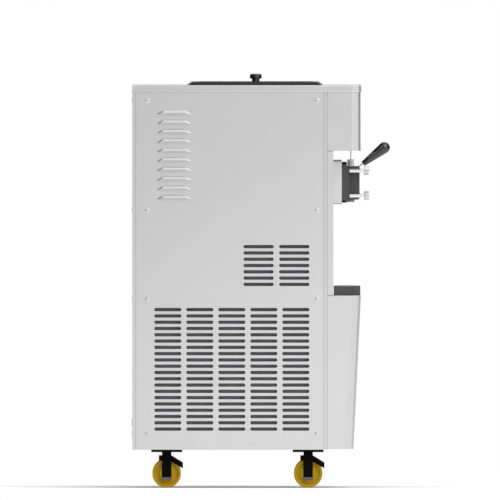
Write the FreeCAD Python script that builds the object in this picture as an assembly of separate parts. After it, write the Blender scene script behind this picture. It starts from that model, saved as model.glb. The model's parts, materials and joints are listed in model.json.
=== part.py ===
import FreeCAD, Part
import math
import os

# Floor-standing soft-serve machine, millimetres.
# The front faces -Y, up is +Z, and the machine's own right side is -X.
# The origin is on the floor under the middle of the machine's bounding box.
# Depths are measured forwards from the back of the cabinet and written as d.

os.makedirs("parts", exist_ok=True)

# Cabinet
CABINET_WIDTH = 540.0
CABINET_HEIGHT = 1273.8
SIDE_LENGTH = 657.5
SHEET = 1.2
SEAM = 1.0
REAR_WRAP = 12.0
FRONT_STRIP = 10.0
FRONT_PANEL_DEPTH = 21.5
FRONT_PANEL_GAP = 1.0

# Frame and base pan
POST_SHEET = 2.5
POST_FACE = 40.0
REAR_POST_LEG = 64.0
FRONT_POST_LEG = 48.0
RAIL_HEIGHT = 20.0
PAN_SHEET = 2.0
PAN_LIP = 30.0

# Top cover, control housing and lower front cover
COVER_HEIGHT = 24.3
COVER_OVERHANG = 2.0
COVER_GAP = 0.3
HEM_HEIGHT = 3.6
HEM_PROUD = 1.8
HOUSING_HEIGHT = 205.2
HOUSING_DEPTH = 117.0
HOUSING_WALL = 1.5
LOWER_COVER_HEIGHT = 537.5
LOWER_COVER_TOP_DEPTH = 118.0
LOWER_COVER_FOOT_DEPTH = 92.5
FACET_DEPTH = 30.0
FACET_ANGLE = 30.0
NOSE_RADIUS = 20.0
BEND_RADIUS = 3.0

# Vent slots
SLOT_HEIGHT = 11.7
SLOT_ROW_PITCH = 22.0
LOWER_SLOT_LENGTH = 94.5
LOWER_SLOT_GAP = 17.5
LOWER_SLOT_ROWS = 20
LOWER_SLOT_RISE = 70.4
MID_SLOT_LENGTH = 105.5
MID_SLOT_GAP = 19.5
MID_SLOT_COLUMNS = 2
MID_SLOT_ROWS = 7
MID_SLOT_RISE = 576.8
SLOT_FRONT_MARGIN = 50.5
SLOT_REAR_MARGIN = 60.0
REAR_SLOT_ROWS = 8
REAR_SLOT_COLUMNS = 3

# Pressed louvres
LOUVRE_COUNT = 10
LOUVRE_PITCH = 33.0
LOUVRE_LENGTH = 124.0
LOUVRE_SHOULDER = 22.0
LOUVRE_HEIGHT = 14.0
LOUVRE_RIDGE_DROP = 4.5
LOUVRE_RIDGE_INSET = 27.0
LOUVRE_RIDGE_OUT = 5.0
LOUVRE_LIP_INSET = 11.0
LOUVRE_LIP_OUT = 6.0
LOUVRE_REAR_MARGIN = 71.4
LOUVRE_TOP_DROP = 63.0

# Sheet screws
SCREW_HEAD_RADIUS = 8.5
SCREW_CROWN_RADIUS = 6.0
SCREW_HEAD_HEIGHT = 1.2
SCREW_SHANK_RADIUS = 2.4
SCREW_LENGTH = 7.0
SCREW_HOLE_CLEARANCE = 0.1
SCREW_EDGE_REAR = 40.0
SCREW_EDGE_FRONT = 23.0
SCREW_RISES = [52.5, 524.5, 834.5]
SCREW_TOP_DROP = 30.0
REAR_SCREW_INSET = 22.0

# Hoppers, lids and knobs
HOPPER_WIDTH = 212.0
HOPPER_LENGTH = 450.0
HOPPER_DEPTH = 214.0
HOPPER_SPACING = 30.0
HOPPER_FRONT_MARGIN = 15.5
HOPPER_CORNER = 25.0
HOPPER_FLANGE = 8.0
HOPPER_NECK_RADIUS = 16.0
HOPPER_NECK_WALL = 1.5
LID_OVERLAP = 12.0
LID_HEIGHT = 10.7
LID_BEVEL = 15.0
LID_WALL = 3.0
LID_LIP_DEPTH = 8.0
LID_LIP_CLEARANCE = 1.5
LID_SEAT = 0.3
KNOB_FORWARD = 2.4
KNOB_STEM_RADIUS = 13.2
KNOB_STEM_HEIGHT = 10.8
KNOB_HEAD_RADIUS = 20.8
KNOB_HEAD_HEIGHT = 16.0
KNOB_ROUND = 3.0

# Freezing cylinders, beaters and gear motors
CYLINDER_SPACING = 170.0
CYLINDER_BORE = 50.0
CYLINDER_WALL = 3.0
CYLINDER_LENGTH = 482.0
CYLINDER_END = 10.0
CYLINDER_DROP = 111.5
JACKET_RADIUS = 76.0
JACKET_REAR_MARGIN = 20.0
JACKET_FRONT_MARGIN = 47.0
BEATER_CLEARANCE = 2.0
BEATER_SHAFT_RADIUS = 10.0
BEATER_BAR_RADIUS = 5.0
BEATER_BARS = 3
BEATER_SPIDER = 8.0
BEATER_END_GAP = 6.0
SHAFT_ENTRY = 30.0
GEARBOX_WIDTH = 96.0
GEARBOX_HEIGHT = 116.0
GEARBOX_LENGTH = 62.0
MOTOR_RADIUS = 52.0
MOTOR_LENGTH = 115.0

# Dispensing head
FLANGE_HALF_WIDTH = 165.0
FLANGE_HEIGHT = 154.0
FLANGE_DEPTH = 29.6
FLANGE_CORNER = 8.0
FLANGE_RISE = 1.0
PLATE_HALF_WIDTH = 160.0
PLATE_HEIGHT = 141.0
PLATE_DEPTH = 17.9
PLATE_CORNER = 10.0
STEP_DEPTH = 8.5
BLOCK_HALF_WIDTH = 125.0
BLOCK_HEIGHT = 116.0
BLOCK_DEPTH = 36.0
BLOCK_CORNER = 8.0
BLOCK_FOOT_RADIUS = 7.0
BLOCK_DROP = 2.0
SEAL_INNER = 55.0
SEAL_WIDTH = 4.0
SEAL_DEPTH = 3.0
SPOUT_SPACING = 85.0
SPOUT_RADIUS = 11.0
SPOUT_LENGTH = 7.0
SPOUT_PASSAGE = 7.0
CAP_RING_RADIUS = 13.0
CAP_RING_FLOOR = 1.5
STAR_POINTS = 6
STAR_OUTER = 8.0
STAR_INNER = 4.5
PORT_RADIUS = 7.0
PORT_DROP = 39.0
TWIST_CHANNEL_DEPTH = 10.0

# Draw valves and levers
VALVE_RADIUS = 9.95
VALVE_FLOOR = 4.0
VALVE_CAP_RADIUS = 11.75
VALVE_CAP_HEIGHT = 23.0
VALVE_CAP_CLEARANCE = 0.5
VALVE_SEAT = 0.3
SWITCH_PIN_RADIUS = 2.0
SWITCH_PIN_ENTRY = 24.0
SWITCH_PIN_HOLE = 3.5
PIVOT_EDGE = 10.0
PIVOT_DROP = 15.0
PIVOT_RADIUS = 4.0
LEVER_ANGLE = 37.4
LEVER_SWING = 50.0
LEVER_HUB_RADIUS = 8.0
LEVER_HUB_WIDTH = 9.6
LEVER_ROD_RADIUS = 3.5
LEVER_ROD_OFFSET = 5.0
LEVER_ARM_THICKNESS = 4.4
LEVER_TIP_RADIUS = 4.0
LEVER_TIP_WIDTH = 8.0
LEVER_SIDE_CLEARANCE = 0.5
NOTCH_CLEARANCE = 0.6
GRIP_START = 32.0
GRIP_LENGTH = 113.1
GRIP_NECK_RADIUS = 9.0
GRIP_END_RADIUS = 20.1
GRIP_ROD_ENTRY = 45.0
RUNNING = 0.05
SNUG = 0.02

# Hand screws
HAND_SCREW_SPACING = 145.0
HAND_SCREW_UPPER = 41.0
HAND_SCREW_LOWER = 46.6
HAND_SCREW_SHANK = 4.0
HAND_SCREW_ENTRY = 20.0
HAND_SCREW_SLEEVE_RADIUS = 8.0
HAND_SCREW_SLEEVE_LENGTH = 39.0
HAND_SCREW_NECK_LENGTH = 12.0
HAND_SCREW_KNOB_RADIUS = 16.0
HAND_SCREW_KNOB_LENGTH = 18.5
HAND_SCREW_LOBES = 8

# Control fascia and buttons
FASCIA_WINDOW_WIDTH = 300.0
FASCIA_WINDOW_HEIGHT = 130.0
FASCIA_LAP = 10.0
FASCIA_THICKNESS = 4.0
BUTTON_COUNT = 3
BUTTON_RADIUS = 10.0
BUTTON_SPACING = 70.0
BUTTON_DROP = 30.0
BUTTON_PROUD = 1.3
BUTTON_LENGTH = 12.0
BUTTON_CLEARANCE = 0.3

# Drip tray and grid
TRAY_HALF_WIDTH = 165.0
TRAY_DEPTH = 93.1
TRAY_HEIGHT = 31.8
TRAY_FACET = 20.0
TRAY_REAR_GAP = 1.4
TRAY_SEAT = 0.8
TRAY_FLOOR = 4.0
TRAY_REAR_RIM = 16.0
TRAY_FRONT_RIM = 25.0
TRAY_SIDE_RIM = 12.0
GRID_CLEARANCE = 3.0
GRID_THICKNESS = 3.0
GRID_PROUD = 2.5
GRID_LEG = 8.0
GRID_SLOT_LENGTH = 30.0
GRID_SLOT_WIDTH = 7.0
GRID_SLOT_PITCH = 14.0
GRID_LEG_GAP = 0.3

# Casters
WHEEL_RADIUS = 50.0
WHEEL_WIDTH = 32.0
WHEEL_RIM = 10.0
WHEEL_HUB_RADIUS = 26.0
WHEEL_HUB_WIDTH = 38.0
WHEEL_WEB = 18.0
AXLE_RADIUS = 6.0
FORK_WIDTH = 32.8
FORK_LEG = 3.5
FORK_GAP = 1.0
FORK_CROWN = 8.0
FORK_LEG_FOOT = 27.0
FORK_TAIL_LENGTH = 11.0
FORK_TAIL_TOP = 111.0
FORK_TAIL_FOOT = 95.0
PLATE_GAP = 0.3
CASTER_PLATE_LENGTH = 108.0
CASTER_PLATE_WIDTH = 100.0
CASTER_PLATE_THICKNESS = 8.5
CASTER_HEIGHT = 133.5
KINGPIN_RADIUS = 8.0
CASTER_INSET = 62.0
CASTER_REAR = 120.8
CASTER_FRONT_MARGIN = 54.7
PEDAL_PIN_RADIUS = 2.5
PEDAL_PIN_FORWARD = 8.0
PEDAL_PIN_HEIGHT = 104.0
PEDAL_TOP = 110.5
PEDAL_TIP_REACH = 57.0
PEDAL_TIP_TOP = 85.4
PEDAL_TIP_FOOT = 67.8
PEDAL_HEEL_FOOT = 91.0
PEDAL_PLATE = 4.0
PEDAL_CHEEK = 1.8
PEDAL_SIDE_GAP = 0.8
PEDAL_EYE = 6.5

# Refrigeration and electrics
CONDENSER_DEPTH = 50.0
CONDENSER_HEIGHT = 460.0
CONDENSER_RISE = 40.0
CONDENSER_PANEL_GAP = 14.0
CONDENSER_MARGIN = 46.0
SHROUD_DEPTH = 30.0
FAN_RADIUS = 150.0
FAN_TIP_GAP = 8.0
FAN_HUB_RADIUS = 40.0
FAN_WIDTH = 20.0
FAN_BLADES = 5
FAN_BLADE_ANGLE = 28.0
FAN_BLADE_THICKNESS = 2.5
FAN_BLADE_CHORD = 38.0
FAN_MOTOR_RADIUS = 42.0
FAN_MOTOR_LENGTH = 70.0
FAN_MOTOR_GAP = 4.0
FAN_STRUT = 8.0
COMPRESSOR_RADIUS = 85.0
COMPRESSOR_HEIGHT = 250.0
COMPRESSOR_DOME = 25.0
COMPRESSOR_FOOT = 12.0
COMPRESSOR_X = 120.0
PIPE_RADIUS = 6.0
PIPE_BEND = 22.0
PIPE_CROSSING = 30.0
ELECTRICAL_WIDTH = 140.0
ELECTRICAL_LENGTH = 250.0
ELECTRICAL_HEIGHT = 180.0
ELECTRICAL_LEG = 45.0
ELECTRICAL_MARGIN = 40.0
GLAND_BORE = 6.0
GLAND_RADIUS = 10.0
GLAND_FLANGE_RADIUS = 14.0
GLAND_FLANGE = 1.2
GLAND_LENGTH = 18.0
GLAND_RISE = 90.0
GLAND_X = 150.0

# Heights worked out from the driving sizes
PANEL_BOTTOM = CASTER_HEIGHT + PAN_SHEET
COVER_TOP = PANEL_BOTTOM + CABINET_HEIGHT
COVER_BOTTOM = COVER_TOP - COVER_HEIGHT
PANEL_TOP = COVER_BOTTOM - COVER_GAP
HOUSING_BOTTOM = PANEL_TOP - HOUSING_HEIGHT
LOWER_COVER_TOP = PANEL_BOTTOM + LOWER_COVER_HEIGHT
CYLINDER_Z = HOUSING_BOTTOM - CYLINDER_DROP
BLOCK_TOP = CYLINDER_Z - BLOCK_DROP + BLOCK_HEIGHT / 2
BLOCK_BOTTOM = BLOCK_TOP - BLOCK_HEIGHT
PIVOT_Z = BLOCK_TOP - PIVOT_DROP
PORT_Z = CYLINDER_Z - PORT_DROP
MID_RAIL_TOP = CYLINDER_Z - JACKET_RADIUS

# Depths worked out from the driving sizes
HALF_WIDTH = CABINET_WIDTH / 2
INNER_HALF = HALF_WIDTH - SHEET
POST_INNER = INNER_HALF - POST_SHEET
SIDE_BACK = REAR_WRAP + SEAM
SIDE_FRONT = SIDE_BACK + SIDE_LENGTH
STRIP_BACK = SIDE_FRONT + SEAM
STRIP_FRONT = STRIP_BACK + FRONT_STRIP
NOSE_BACK = STRIP_FRONT + SEAM
PANEL_FACE = NOSE_BACK + FRONT_PANEL_DEPTH
HOUSING_FRONT = NOSE_BACK + HOUSING_DEPTH
COVER_FRONT = HOUSING_FRONT + COVER_OVERHANG
FLANGE_FRONT = PANEL_FACE + FLANGE_DEPTH
PLATE_FRONT = FLANGE_FRONT + PLATE_DEPTH
STEP_FRONT = PLATE_FRONT + STEP_DEPTH
BLOCK_FRONT = STEP_FRONT + BLOCK_DEPTH
CYLINDER_BACK = FLANGE_FRONT - CYLINDER_LENGTH
VALVE_D = PLATE_FRONT + max(VALVE_CAP_RADIUS, CAP_RING_RADIUS) + VALVE_CAP_CLEARANCE
PIVOT_D = BLOCK_FRONT - PIVOT_EDGE
CRANK_HALF = math.radians(LEVER_SWING / 2)
CRANK_RADIUS = 2 * (PIVOT_D - VALVE_D) / (1 + math.cos(CRANK_HALF))
VALVE_LIFT = 2 * CRANK_RADIUS * math.sin(CRANK_HALF)
GRIP_CENTRE = GRIP_START + GRIP_LENGTH - GRIP_END_RADIUS
LEVER_LEAN = math.radians(LEVER_ANGLE)
LEVER_REACH = (PIVOT_D + GRIP_CENTRE * math.cos(LEVER_LEAN) - LEVER_ROD_OFFSET * math.sin(LEVER_LEAN)
               + GRIP_END_RADIUS)
REAR_PROUD = max(SCREW_HEAD_HEIGHT, GLAND_FLANGE)
BACK_Y = (LEVER_REACH - REAR_PROUD) / 2

SIDES = {"right": -1, "left": 1}
SPOUTS = {"right": -SPOUT_SPACING, "centre": 0.0, "left": SPOUT_SPACING}
EPS = 1.0
SLIVER = 1e-4


def at(x, d, z):
    """Point at sideways place x, depth d and height z."""
    return FreeCAD.Vector(x, BACK_Y - d, z)


def block(x0, x1, d0, d1, z0, z1):
    return Part.makeBox(x1 - x0, d1 - d0, z1 - z0, at(x0, d1, z0))


def rod_z(x, d, z0, z1, radius):
    return Part.makeCylinder(radius, z1 - z0, at(x, d, z0), FreeCAD.Vector(0, 0, 1))


def rod_d(x, d0, d1, z, radius):
    return Part.makeCylinder(radius, d1 - d0, at(x, d0, z), FreeCAD.Vector(0, -1, 0))


def rod_x(x0, x1, d, z, radius):
    return Part.makeCylinder(radius, x1 - x0, at(x0, d, z), FreeCAD.Vector(1, 0, 0))


def fused(shapes):
    first = shapes[0]
    return first.fuse(shapes[1:]).removeSplitter()


def outline(points, radii):
    """Closed wire through the points, each corner rounded by its radius."""
    count = len(points)
    ends = []
    for i in range(count):
        corner = points[i]
        before = (points[i - 1] - corner).normalize()
        after = (points[(i + 1) % count] - corner).normalize()
        reach = radii[i] / math.tan(before.getAngle(after) / 2)
        middle = (before + after).normalize()
        centre_reach = radii[i] / math.sin(before.getAngle(after) / 2)
        crown = corner + middle * (centre_reach - radii[i])
        ends.append((corner + before * reach, crown, corner + after * reach))
    edges = []
    for i in range(count):
        start, crown, finish = ends[i]
        if radii[i] > 0:
            edges.append(Part.Arc(start, crown, finish).toShape())
        following = ends[(i + 1) % count][0]
        if finish.distanceToPoint(following) > 1e-6:
            edges.append(Part.makeLine(finish, following))
    return Part.Wire(edges)


def sheet_face(wires):
    return Part.makeFace(wires, "Part::FaceMakerCheese")


def plan_wire(corners, z, radii):
    return outline([at(x, d, z) for x, d in corners], radii)


def plan_solid(corners, z0, z1, radii):
    face = sheet_face([plan_wire(corners, z0, radii)])
    return face.extrude(FreeCAD.Vector(0, 0, z1 - z0))


def plan_rectangle(x0, x1, d0, d1):
    return [(x0, d0), (x1, d0), (x1, d1), (x0, d1)]


def front_solid(x0, x1, z0, z1, d0, d1, radius):
    """Block rounded in the front view, from depth d0 to d1."""
    corners = [at(x0, d0, z0), at(x1, d0, z0), at(x1, d0, z1), at(x0, d0, z1)]
    face = sheet_face([outline(corners, [radius] * 4)])
    return face.extrude(FreeCAD.Vector(0, d0 - d1, 0))


def side_solid(corners, x0, x1, radii=None):
    """Prism of a side-view outline of (d, z) corners, from x0 to x1."""
    face = sheet_face([outline([at(x0, d, z) for d, z in corners], radii or [0] * len(corners))])
    return face.extrude(FreeCAD.Vector(x1 - x0, 0, 0))


def revolved(profile, base, axis, normal):
    """Solid of revolution of (along, radius) points about an axis; normal is square to it."""
    points = [base + axis * along + normal * radius for along, radius in profile]
    face = Part.Face(Part.makePolygon(points + points[:1]))
    return face.revolve(base, axis, 360)


def slot_wire_side(x, d, z, length, height):
    """Round-ended slot in a side panel, its middle at (d, z)."""
    half = length / 2
    corners = [at(x, d + sd * half, z + sz * height / 2)
               for sd, sz in ((-1, -1), (1, -1), (1, 1), (-1, 1))]
    return outline(corners, [height / 2 - SLIVER] * 4)


def nose_corners(half, back, front, inset):
    """Plan of a front-heavy cover: flat sides, angled facets and a flat front."""
    angle = math.radians(FACET_ANGLE)
    facet = front - FACET_DEPTH - inset * math.tan(angle / 2)
    edge = half - inset
    face = front - inset
    corner = edge - (face - facet) * math.tan(angle)
    return [(-edge, back), (edge, back), (edge, facet), (corner, face), (-corner, face), (-edge, facet)]


def nose_radii(inset):
    return [0, 0, BEND_RADIUS, NOSE_RADIUS - inset, NOSE_RADIUS - inset, BEND_RADIUS]


def screw(place, outward):
    """Low-crowned sheet screw whose head sits on the sheet at the place."""
    head = Part.makeCone(SCREW_HEAD_RADIUS, SCREW_CROWN_RADIUS, SCREW_HEAD_HEIGHT, place, outward)
    shank = Part.makeCylinder(SCREW_SHANK_RADIUS, SCREW_LENGTH, place - outward * SCREW_LENGTH, outward)
    return head.fuse(shank).removeSplitter()


def screw_heights():
    rises = [PANEL_BOTTOM + rise for rise in SCREW_RISES]
    return rises + [COVER_BOTTOM - SCREW_TOP_DROP]


def side_screw_places():
    return [(d, z) for d in (SIDE_BACK + SCREW_EDGE_REAR, SIDE_FRONT - SCREW_EDGE_FRONT)
            for z in screw_heights()]


def screw_hole_radius():
    return SCREW_SHANK_RADIUS + SCREW_HOLE_CLEARANCE


# Base pan: a sheet floor with upturned lips inside the posts
def base_pan():
    floor = block(-INNER_HALF, INNER_HALF, SHEET, STRIP_FRONT, CASTER_HEIGHT, PANEL_BOTTOM)
    top = PANEL_BOTTOM + PAN_LIP
    back = SHEET + REAR_POST_LEG
    front = SIDE_FRONT - FRONT_POST_LEG
    lips = [block(-INNER_HALF, -POST_INNER, back, front, PANEL_BOTTOM, top),
            block(POST_INNER, INNER_HALF, back, front, PANEL_BOTTOM, top)]
    return fused([floor] + lips)


# Frame: four corner posts, with rails and cross bars under the freezing cylinders
def frame_rails():
    solids = []
    top = PANEL_TOP
    for side in SIDES.values():
        legs = []
        rear_leg = block(POST_INNER, INNER_HALF, SHEET, SHEET + REAR_POST_LEG, PANEL_BOTTOM, top)
        rear_face = block(INNER_HALF - POST_FACE, POST_INNER, SHEET, SHEET + POST_SHEET, PANEL_BOTTOM, top)
        legs.append(rear_leg.fuse(rear_face))
        front_leg = block(POST_INNER, INNER_HALF, SIDE_FRONT - FRONT_POST_LEG, STRIP_BACK, PANEL_BOTTOM, top)
        strip = block(HALF_WIDTH - POST_FACE, HALF_WIDTH, STRIP_BACK, STRIP_FRONT, PANEL_BOTTOM, top)
        legs.append(front_leg.fuse(strip))
        rail_span = (SHEET + REAR_POST_LEG, SIDE_FRONT - FRONT_POST_LEG)
        for height in (top, MID_RAIL_TOP):
            legs.append(block(POST_INNER, INNER_HALF, *rail_span, height - RAIL_HEIGHT, height))
        holes = [rod_x(POST_INNER - EPS, HALF_WIDTH, d, z, screw_hole_radius())
                 for d, z in side_screw_places()]
        holes += [rod_d(INNER_HALF - REAR_SCREW_INSET, -EPS, REAR_WRAP, z, screw_hole_radius())
                  for z in screw_heights()]
        for leg in legs:
            cut = leg.cut(holes).removeSplitter()
            if side < 0:
                cut = cut.mirror(FreeCAD.Vector(0, 0, 0), FreeCAD.Vector(1, 0, 0))
            solids.append(cut)
    for d in (CYLINDER_BACK + 2 * JACKET_REAR_MARGIN, SIDE_FRONT - FRONT_POST_LEG - RAIL_HEIGHT):
        solids.append(block(-POST_INNER, POST_INNER, d, d + RAIL_HEIGHT,
                            MID_RAIL_TOP - RAIL_HEIGHT, MID_RAIL_TOP))
    return Part.makeCompound(solids)


def louvre_hood(side, d_back, z_top):
    """Pressed louvre as a faceted bulge that grows out of the sheet."""
    root = side * (HALF_WIDTH - SHEET / 2)
    ridge = side * (HALF_WIDTH + LOUVRE_RIDGE_OUT)
    lip = side * (HALF_WIDTH + LOUVRE_LIP_OUT)
    d_front = d_back + LOUVRE_LENGTH
    foot = z_top - LOUVRE_HEIGHT
    crest = z_top - LOUVRE_RIDGE_DROP
    a = at(root, d_back, foot)
    b = at(root, d_back + LOUVRE_SHOULDER, z_top)
    c = at(root, d_front - LOUVRE_SHOULDER, z_top)
    e = at(root, d_front, foot)
    f = at(ridge, d_back + LOUVRE_RIDGE_INSET, crest)
    g = at(ridge, d_front - LOUVRE_RIDGE_INSET, crest)
    h = at(lip, d_back + LOUVRE_LIP_INSET, foot)
    k = at(lip, d_front - LOUVRE_LIP_INSET, foot)
    loops = [(a, b, f), (a, f, h), (b, c, g, f), (c, e, g), (e, k, g),
             (f, g, k, h), (a, h, k, e), (a, e, c, b)]
    faces = [Part.Face(Part.makePolygon(list(loop) + [loop[0]])) for loop in loops]
    solid = Part.Solid(Part.Shell(faces))
    if solid.Volume < 0:
        solid.reverse()
    return solid


def louvre_gap(side, d_back, z_top):
    """Air way behind a louvre, open downwards under its lip."""
    d0 = d_back + LOUVRE_RIDGE_INSET
    length = LOUVRE_LENGTH - 2 * LOUVRE_RIDGE_INSET
    foot = z_top - LOUVRE_HEIGHT - EPS
    crest = z_top - LOUVRE_RIDGE_DROP - SHEET
    inside = side * (INNER_HALF - EPS)
    skin = side * HALF_WIDTH
    loop = [at(inside, d0, foot + EPS), at(skin, d0, foot + EPS), at(skin, d0, foot),
            at(side * (HALF_WIDTH + LOUVRE_LIP_OUT - SHEET), d0, foot),
            at(side * (HALF_WIDTH + LOUVRE_RIDGE_OUT - SHEET), d0, crest), at(inside, d0, crest)]
    return Part.Face(Part.makePolygon(loop + loop[:1])).extrude(FreeCAD.Vector(0, -length, 0))


def louvre_places():
    back = SIDE_BACK + LOUVRE_REAR_MARGIN
    top = COVER_BOTTOM - LOUVRE_TOP_DROP
    return [(back, top - i * LOUVRE_PITCH) for i in range(LOUVRE_COUNT)]


def side_slot_wires(x):
    wires = []
    front = SIDE_FRONT - SLOT_FRONT_MARGIN
    lower_pitch = LOWER_SLOT_LENGTH + LOWER_SLOT_GAP
    mid_pitch = MID_SLOT_LENGTH + MID_SLOT_GAP
    columns = int((front - SIDE_BACK - SLOT_REAR_MARGIN + LOWER_SLOT_GAP) / lower_pitch)
    fields = [(columns, LOWER_SLOT_ROWS, LOWER_SLOT_LENGTH, lower_pitch, LOWER_SLOT_RISE),
              (MID_SLOT_COLUMNS, MID_SLOT_ROWS, MID_SLOT_LENGTH, mid_pitch, MID_SLOT_RISE)]
    for count, rows, length, pitch, rise in fields:
        for column in range(count):
            d = front - length / 2 - column * pitch
            for row in range(rows):
                z = PANEL_BOTTOM + rise + row * SLOT_ROW_PITCH
                wires.append(slot_wire_side(x, d, z, length, SLOT_HEIGHT))
    return wires


# Side panel: one sheet with vent slots, screw holes and pressed louvres
def side_panel(side):
    x = side * INNER_HALF
    frame = [at(x, d, z) for d, z in ((SIDE_BACK, PANEL_BOTTOM), (SIDE_FRONT, PANEL_BOTTOM),
                                      (SIDE_FRONT, PANEL_TOP), (SIDE_BACK, PANEL_TOP))]
    wires = [Part.makePolygon(frame + frame[:1])] + side_slot_wires(x)
    for d, z in side_screw_places():
        circle = Part.makeCircle(screw_hole_radius(), at(x, d, z), FreeCAD.Vector(1, 0, 0))
        wires.append(Part.Wire(circle))
    sheet = sheet_face(wires).extrude(FreeCAD.Vector(side * SHEET, 0, 0))
    hoods = [louvre_hood(side, d, z) for d, z in louvre_places()]
    gaps = [louvre_gap(side, d, z) for d, z in louvre_places()]
    return sheet.fuse(hoods).cut(gaps).removeSplitter()


# Rear panel: a sheet with folded edges, vent slots and the cable gland hole
def rear_panel():
    top = PANEL_TOP
    frame = [at(x, 0, z) for x, z in ((-HALF_WIDTH, PANEL_BOTTOM), (HALF_WIDTH, PANEL_BOTTOM),
                                      (HALF_WIDTH, top), (-HALF_WIDTH, top))]
    wires = [Part.makePolygon(frame + frame[:1])]
    pitch = LOWER_SLOT_LENGTH + LOWER_SLOT_GAP
    for column in range(REAR_SLOT_COLUMNS):
        x = (column - (REAR_SLOT_COLUMNS - 1) / 2) * pitch
        for row in range(REAR_SLOT_ROWS):
            z = PANEL_BOTTOM + MID_SLOT_RISE + row * SLOT_ROW_PITCH
            corners = [at(x + sx * LOWER_SLOT_LENGTH / 2, 0, z + sz * SLOT_HEIGHT / 2)
                       for sx, sz in ((-1, -1), (1, -1), (1, 1), (-1, 1))]
            wires.append(outline(corners, [SLOT_HEIGHT / 2 - SLIVER] * 4))
    holes = [(GLAND_X, PANEL_BOTTOM + GLAND_RISE, GLAND_RADIUS + SNUG)]
    for side in SIDES.values():
        holes += [(side * (INNER_HALF - REAR_SCREW_INSET), z, screw_hole_radius()) for z in screw_heights()]
    for x, z, radius in holes:
        wires.append(Part.Wire(Part.makeCircle(radius, at(x, 0, z), FreeCAD.Vector(0, 1, 0))))
    sheet = sheet_face(wires).extrude(FreeCAD.Vector(0, -SHEET, 0))
    returns = [block(-HALF_WIDTH, -INNER_HALF, 0, REAR_WRAP, PANEL_BOTTOM, top),
               block(INNER_HALF, HALF_WIDTH, 0, REAR_WRAP, PANEL_BOTTOM, top)]
    return fused([sheet] + returns)


# Front panel behind the dispensing head, with folded edges
def front_panel():
    bottom = LOWER_COVER_TOP + SEAM
    top = HOUSING_BOTTOM - FRONT_PANEL_GAP
    outer = block(-HALF_WIDTH, HALF_WIDTH, NOSE_BACK, PANEL_FACE, bottom, top)
    hollow = block(-INNER_HALF, INNER_HALF, NOSE_BACK - EPS, PANEL_FACE - SHEET, bottom + SHEET, top - SHEET)
    bores = [rod_d(side * CYLINDER_SPACING / 2, NOSE_BACK, PANEL_FACE + EPS, CYLINDER_Z,
                   CYLINDER_BORE + CYLINDER_WALL + SNUG) for side in SIDES.values()]
    return outer.cut([hollow] + bores)


# Control housing: a shell open at the back, with the fascia window and switch pin holes
def control_housing():
    outer = plan_solid(nose_corners(HALF_WIDTH, NOSE_BACK, HOUSING_FRONT, 0), HOUSING_BOTTOM, PANEL_TOP,
                       nose_radii(0))
    hollow = plan_solid(nose_corners(HALF_WIDTH, NOSE_BACK - EPS, HOUSING_FRONT, HOUSING_WALL),
                        HOUSING_BOTTOM + HOUSING_WALL, PANEL_TOP - HOUSING_WALL, nose_radii(HOUSING_WALL))
    middle = (HOUSING_BOTTOM + PANEL_TOP) / 2
    window = front_solid(-FASCIA_WINDOW_WIDTH / 2, FASCIA_WINDOW_WIDTH / 2,
                         middle - FASCIA_WINDOW_HEIGHT / 2, middle + FASCIA_WINDOW_HEIGHT / 2,
                         HOUSING_FRONT - HOUSING_WALL - EPS, HOUSING_FRONT + EPS, FLANGE_CORNER)
    pins = [rod_z(x, VALVE_D, HOUSING_BOTTOM - EPS, HOUSING_BOTTOM + HOUSING_WALL + EPS, SWITCH_PIN_HOLE)
            for x in SPOUTS.values()]
    return outer.cut([hollow, window] + pins)


def button_places():
    middle = (HOUSING_BOTTOM + PANEL_TOP) / 2
    first = -(BUTTON_COUNT - 1) / 2 * BUTTON_SPACING
    return [(first + i * BUTTON_SPACING, middle - BUTTON_DROP) for i in range(BUTTON_COUNT)]


# Fascia behind the housing window
def control_fascia():
    middle = (HOUSING_BOTTOM + PANEL_TOP) / 2
    half = FASCIA_WINDOW_WIDTH / 2 + FASCIA_LAP
    rise = FASCIA_WINDOW_HEIGHT / 2 + FASCIA_LAP
    front = HOUSING_FRONT - HOUSING_WALL
    plate = block(-half, half, front - FASCIA_THICKNESS, front, middle - rise, middle + rise)
    holes = [rod_d(x, front - FASCIA_THICKNESS - EPS, front + EPS, z, BUTTON_RADIUS + BUTTON_CLEARANCE)
             for x, z in button_places()]
    return plate.cut(holes)


def control_button(x, z):
    face = HOUSING_FRONT - HOUSING_WALL + BUTTON_PROUD
    return rod_d(x, face - BUTTON_LENGTH, face, z, BUTTON_RADIUS)


# Top cover: a cap with a hemmed skirt and an opening over each hopper
def top_cover():
    outer = plan_solid(nose_corners(HALF_WIDTH, 0, COVER_FRONT, 0), COVER_BOTTOM, COVER_TOP, nose_radii(0))
    hem = plan_solid(nose_corners(HALF_WIDTH, -HEM_PROUD, COVER_FRONT, -HEM_PROUD),
                     COVER_BOTTOM, COVER_BOTTOM + HEM_HEIGHT, nose_radii(-HEM_PROUD))
    hollow = plan_solid(nose_corners(HALF_WIDTH, SHEET, COVER_FRONT, SHEET), COVER_BOTTOM - EPS,
                        COVER_TOP - SHEET, nose_radii(SHEET))
    mouths = [hopper_solid(side, SHEET, COVER_BOTTOM, COVER_TOP + EPS) for side in SIDES.values()]
    return outer.fuse(hem).cut([hollow] + mouths).removeSplitter()


def lower_front(z):
    """Depth of the lower front cover's face at a height."""
    share = (z - PANEL_BOTTOM) / LOWER_COVER_HEIGHT
    depth = LOWER_COVER_FOOT_DEPTH + share * (LOWER_COVER_TOP_DEPTH - LOWER_COVER_FOOT_DEPTH)
    return NOSE_BACK + depth


def lower_loft(z0, z1, back, inset):
    wires = [plan_wire(nose_corners(HALF_WIDTH, back, lower_front(z), inset), z, nose_radii(inset))
             for z in (z0, z1)]
    return Part.makeLoft(wires, True, True)


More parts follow.
